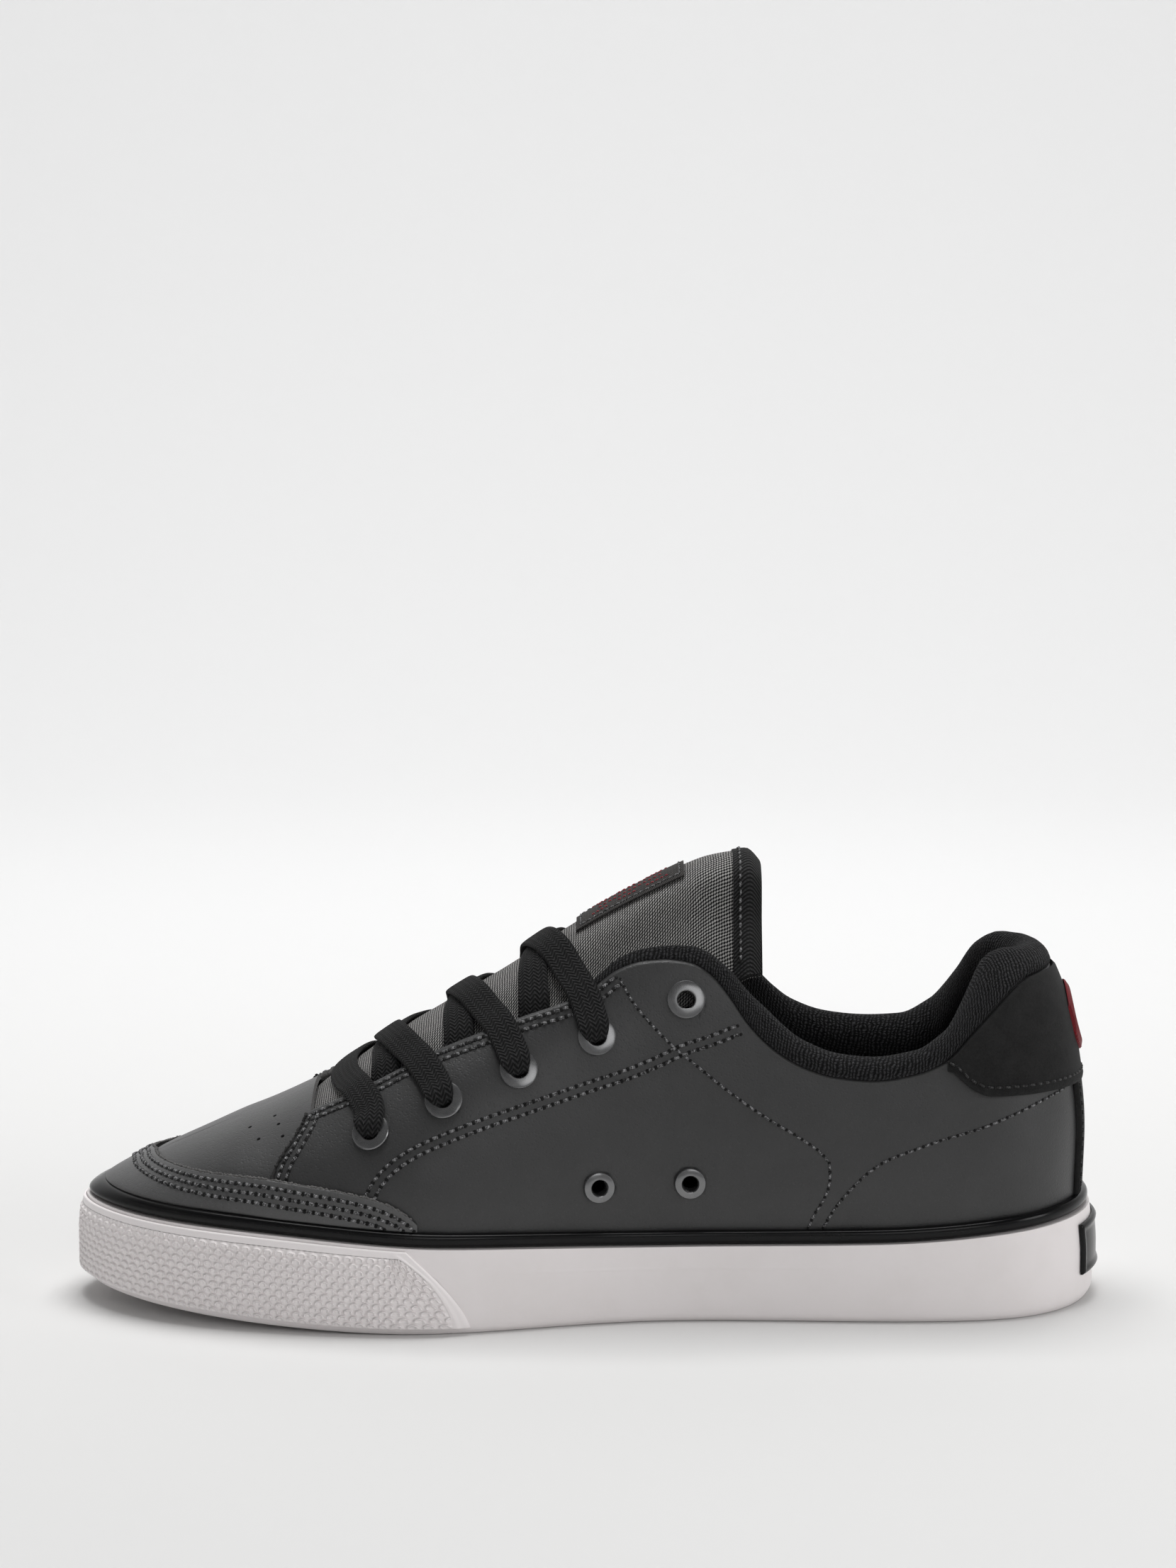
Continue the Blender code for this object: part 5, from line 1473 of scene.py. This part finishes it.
def make_tongue():
    turn, radius, shift = np.linspace(0, math.pi / 2, 9), 0.0046, 0.0016
    top = TONGUE_TOP + (radius / LENGTH) * (1 - np.cos(turn))
    thin = np.maximum(np.sin(turn), 0.05)
    places = np.concatenate([top, np.linspace(top[-1], TONGUE_END, 110)[1:]])
    rows = tongue_rows(places, np.concatenate([thin, np.ones(109)]))
    piece(grid_mesh("tongue_pad", rows, closed=True), CANVAS, "grey_canvas", "tongue")
    band = np.concatenate([top, np.linspace(top[-1], top[-1] + 0.0125, 10)[1:]])
    rows = tongue_rows(band - shift, np.concatenate([thin, np.ones(9)]), 0.00045)
    rows += tongue_rows([band[-1] - shift], [1], -0.0006)
    piece(grid_mesh("tongue_binding", rows, closed=True), TWILL, "grey_canvas")
    line = []
    for side, order in HALVES:
        skin, runs, sink = tongue_side(band[-1] - 0.0084, side, order)
        line += list(skin.at(runs, -sink + 0.0005))
    stitch(resample(line, 0.0024)[2:-1], thread=FINE_THREAD)


def make_label():
    def at(along, offset, out):
        reach = Column(place(along), 1).feather * float(smooth(TONGUE, along, "spread"))
        skin, runs, sink = tongue_side(along, 1 if offset >= 0 else -1, [abs(offset) / reach])
        return skin.at(runs, -sink + out)[0]

    half, top, inset_by = LABEL_WIDTH / 2, GAP + 0.0002 + LABEL_THICKNESS, 0.0013
    offsets = np.linspace(half, -half, 20)
    rows = []
    for along in np.linspace(*LABEL_ENDS, 36):
        rows.append([at(along, y, top) for y in offsets] + [at(along, y, -0.0004) for y in offsets[::-3]])
    piece(grid_mesh("label", rows, closed=True), LABEL, "black_lace", "tongue_label")
    up = np.array((0.5, 0.02, 0.85))
    ends, side = (LABEL_ENDS[0] + inset_by / LENGTH, LABEL_ENDS[1] - inset_by / LENGTH), half - inset_by
    borders = [[(a, y) for a in np.linspace(*ends, 20)] for y in (side, -side)]
    borders += [[(a, y) for y in np.linspace(-side, side, 10)] for a in ends]
    for path in borders:
        stitch(resample([at(a, y, top) for a, y in path], 0.0019), thread=LABEL_THREAD, normal=up)
    span = LABEL_ENDS[1] - LABEL_ENDS[0]
    for start, end, y in LABEL_LINES:
        points = [at(LABEL_ENDS[0] + span * s, y, top - 0.0001) for s in np.linspace(start, end, 14)]
        stitch(resample(points, 0.0016), thread=1.1 * LABEL_THREAD, colour=RED_THREAD, normal=up)


def make_eyelets():
    for name, (centre, normal, radius, bore) in SEATS.items():
        tall = 0.0013 if name.startswith("vent") else 0.0011
        low = -WALL - 0.0008
        section = [(bore, low), (bore, 0.3 * tall), (bore + 0.0001, 0.78 * tall), (bore + 0.00035, tall),
                   (bore + 0.0008, tall), (radius - 0.0005, 0.84 * tall), (radius - 0.0002, 0.76 * tall),
                   (radius, 0.5 * tall), (radius, 0.1 * tall), (radius - 0.0001, -0.0001),
                   (bore + EYELET_TUBE, -0.0001), (bore + EYELET_TUBE, -WALL + 0.0001),
                   (radius - 0.0012, -WALL), (radius - 0.0010, low), (bore + 0.0006, low - 0.0004)]
        turns = [2 * math.pi * k / 40 for k in range(40)]
        rows = [[(r * math.cos(t), r * math.sin(t), z) for r, z in section] for t in turns]
        mesh = grid_mesh(f"{name}_ring", rows, around=True, closed=True)
        mesh.set_sharp_from_angle(angle=math.radians(32))
        turn = Vector(normal).to_track_quat("Z", "Y").to_matrix().to_4x4()
        mesh.transform(Matrix.Translation(centre) @ turn)
        piece(mesh, METAL, "grey_metal", name)


def eyelet(number, side):
    return SEATS[f"eyelet_{word(side)}_{number}"][:2]


def hidden_end(number, side):
    """Where a lace comes out from under an eyestay, ahead of the eyelet that it goes to on the other side."""
    after, before = EYELETS[number - 1].along, EYELETS[number - 2].along
    column = Column(place(after + HIDDEN_SHARE * (before - after)), side)
    return np.array([column.x, column.edge_point[1] - side * 0.0055])


def lace_line(start, end, bow, over):
    """Stations of a lace pulled over the tongue: its middle, its direction across, and shares of its size."""
    count, fine, step = 26, 5, 0.003
    t = np.linspace(0, 1, fine * count + 1)
    plan = start + np.outer(t, end - start) + np.outer(4 * t * (1 - t), (bow, 0))
    line = np.array([(x, y, cover(x, y)) for x, y in plan])
    line[:, 2] = taut(line)
    line, t = line[::fine], t[::fine]
    stations = []
    for point, way, q in zip(line, unit(np.gradient(line, axis=0)), t):
        x, y = point[:2]
        across = np.array([1.0, 0.0, (cover(x + step, y) - cover(x - step, y)) / (2 * step)])
        across = unit(across - way * across.dot(way))
        up = np.cross(way, across)
        up *= math.copysign(1, up[2])
        lift = 0.0001 + LACE_THICKNESS / 2 + over * LACE_THICKNESS * math.exp(-((q - 0.5) / 0.24) ** 4)
        stations.append((point + up * lift, across, 1.0, 1.0))
    return stations


def into_eyelet(number, side, before):
    """Stations of a lace that narrows, turns down into an eyelet from outside and ends below it."""
    centre, normal = eyelet(number, side)
    way = centre - before[0]
    way = unit(way - normal * way.dot(normal))
    across = np.cross(normal, way)
    across *= math.copysign(1, across.dot(before[1]))
    # Millimetres past the eyelet's middle and over it, and shares of the lace's width and thickness
    steps = ((-3.0, 2.4, 1.00, 1.00), (-1.2, 2.1, 0.90, 1.20), (0.4, 1.0, 0.66, 1.60),
             (0.6, -1.2, 0.50, 1.65), (0.0, -4.0, 0.50, 1.40))
    return [(centre + (way * on + normal * out) / 1000, across, *shares) for on, out, *shares in steps]


def under_eyestay(number, side, after):
    """Stations of a lace that comes from under the eyelet before, below the eyestay, out to the throat."""
    centre, normal = eyelet(number - 1, side)
    column, across = Column(after[0][0], side), after[1]
    return [
        (centre - normal * 0.0046, across, 0.6, 1.2),
        (column.last.at(column.edge - 0.0060, -WALL - 0.0019)[0], across, 0.9, 1.0),
        (column.last.at(column.edge - 0.0010, -WALL - 0.0017)[0], across, 1.0, 1.0),
    ]


def sweep(stations):
    """Rows of a flat woven section along smoothed stations."""
    fields = np.array([(*point, *across, wide, thick) for point, across, wide, thick in stations])
    run = run_along(fields[:, :3])
    dense = sample(np.linspace(0, run[-1], int(run[-1] / 0.0008)), run, fields)
    for _ in range(6):
        dense[1:-1] = 0.25 * dense[:-2] + 0.5 * dense[1:-1] + 0.25 * dense[2:]
    ways = unit(np.gradient(dense[:, :3], axis=0))
    across = unit(dense[:, 3:6] - ways * np.sum(dense[:, 3:6] * ways, axis=1)[:, None])
    up = np.cross(ways, across)
    turn = np.linspace(0, 2 * math.pi, 32, endpoint=False)
    wide, tall = (np.sign(wave) * np.abs(wave) ** 0.60 for wave in (np.cos(turn), np.sin(turn)))
    half, thick = LACE_WIDTH / 2 * 1.04, LACE_THICKNESS / 2 * 0.84
    return (dense[:, None, :3] + across[:, None] * (half * dense[:, 6:7] * wide)[..., None]
            + up[:, None] * (thick * dense[:, 7:8] * tall)[..., None])


def make_lace():
    """The lace: a straight bar at the lowest eyelets, then crossings, each of two lengths."""

    def edge_of(number, side):
        centre = eyelet(number, side)[0]
        return np.array([centre[0], centre[1] - side * (EYELET_RADIUS - 0.0005)])

    bar = lace_line(edge_of(1, 1), edge_of(1, -1), BAR_BOW, 0.0)
    bar = into_eyelet(1, 1, bar[0])[::-1] + bar + into_eyelet(1, -1, bar[-1])
    paths = {"lace_bar": (bar, ["lace_bar_1"])}
    for number in (2, 3, 4):
        for side, over, kind, nodes in ((-1, 0.0, "under", []), (1, 0.95, "over", [f"lace_cross_{number}"])):
            near = edge_of(number, side) + (0.0026, side * 0.0012)
            line = lace_line(hidden_end(number, -side), near, CROSS_BOW, over)
            line = under_eyestay(number, -side, line[0]) + line + into_eyelet(number, side, line[-1])
            paths[f"lace_{kind}_{number}"] = line, nodes
    for name, (stations, nodes) in paths.items():
        piece(grid_mesh(name, sweep(stations), closed=True), LACE, "black_lace", *nodes)


def make_seams(ends):
    for side in (1, -1):
        line = []
        for x in np.linspace(place(THROAT_FRONT), place(0.477), 90):
            line.append(on_side(x, float(topline(side)(x)) - 0.0001, side)[0])
        line = np.array(line)
        front = np.array(ends[side][-1][2:])[::-1]
        # The frayed fibres of the quarter's front edge, painted near black for the shadow that the edge casts
        # on the vamp.
        fringe(f"quarter_edge_shadow_{word(side)}", front[1:-6], 0.00050, RAW_EDGE_PAINTED_SHADOW)
        for distance in EDGE_ROWS:
            sew(beside(line, -side * distance))
            sew(beside(front, side * distance)[2:-4])
        curve = curve_on(EYESTAY_SEAM, side)
        sew(curve, thread=STAY_THREAD)
        sew(beside(curve, -side * 0.0026), thread=STAY_THREAD)
        for marks in (SIDE_SEAM, HEEL_SEAM):
            sew(curve_on(marks, side), thread=SIDE_THREAD)


def make_floor():
    """A pale seamless floor that curves up all round, like a dish, painted darker near the shoe for its
    shadow.
    """
    flat, bend, high = 1.65, 0.6, 1.6
    profile = [(0.0, 0.0), (0.8, 0.0), (flat, 0.0)]
    for a in np.linspace(0.1, math.pi / 2, 14):
        profile.append((flat + bend * math.sin(a), bend - bend * math.cos(a)))
    profile.append((flat + bend, high))
    turns = np.linspace(0, 2 * math.pi, 96, endpoint=False)
    rows = [[(0.1 + r * math.cos(t), 0.75 + r * math.sin(t), z - 0.0002) for r, z in profile] for t in turns]
    mesh = grid_mesh("floor", rows, around=True)
    look = Look("backdrop_painted_shadow", (0.86, 0.86, 0.86), 0.9, Specular_IOR_Level=0.1)
    # Painted shadow: the floor is painted darker close to the shoe, to deepen the shadow under it.
    x, y = look.parts(look.on_object())
    x = (x - 0.1) * 0.6
    away = look.math("SQRT", x * x + y * y)
    look.paint(look.ramp(away, 0.04, 0.70), (0.775, 0.772, 0.766), (0.84, 0.84, 0.84))
    mesh.materials.append(look.material)
    link(bpy.data.objects.new("floor", mesh))


def make_lights():
    world = bpy.data.worlds.new("studio")
    world.use_nodes = True
    world.node_tree.nodes["Background"].inputs["Color"].default_value = (1, 1, 1, 1)
    world.node_tree.nodes["Background"].inputs["Strength"].default_value = WORLD_LIGHT
    bpy.context.scene.world = world
    for lamp in LIGHTS:
        data = bpy.data.lights.new(lamp.name, "AREA")
        data.size = lamp.size
        data.energy = lamp.power
        light = link(bpy.data.objects.new(lamp.name, data))
        light.location = lamp.at
        light.rotation_mode = "QUATERNION"
        light.rotation_quaternion = (Vector(lamp.toward) - Vector(lamp.at)).to_track_quat("-Z", "Y")


def make_camera():
    """The photograph's view."""
    data = bpy.data.cameras.new("camera")
    data.lens = 101.86
    data.sensor_width = 36
    data.clip_end = 20
    camera = link(bpy.data.objects.new("camera", data))
    camera.location = (0.1045, 1.2651, 0.3550)
    camera.rotation_euler = (math.radians(80.78), 0, math.pi)
    bpy.context.scene.camera = camera
    bpy.context.scene.view_settings.view_transform = "Standard"


def main():
    make_sole()
    make_bumper()
    make_piping()
    make_badge()
    make_insole()
    ends = make_quarters()
    make_vamp()
    make_guard()
    make_heel()
    make_collar()
    make_tongue()
    make_label()
    make_eyelets()
    make_lace()
    make_seams(ends)
    sew_all()
    make_floor()
    make_lights()
    make_camera()


main()
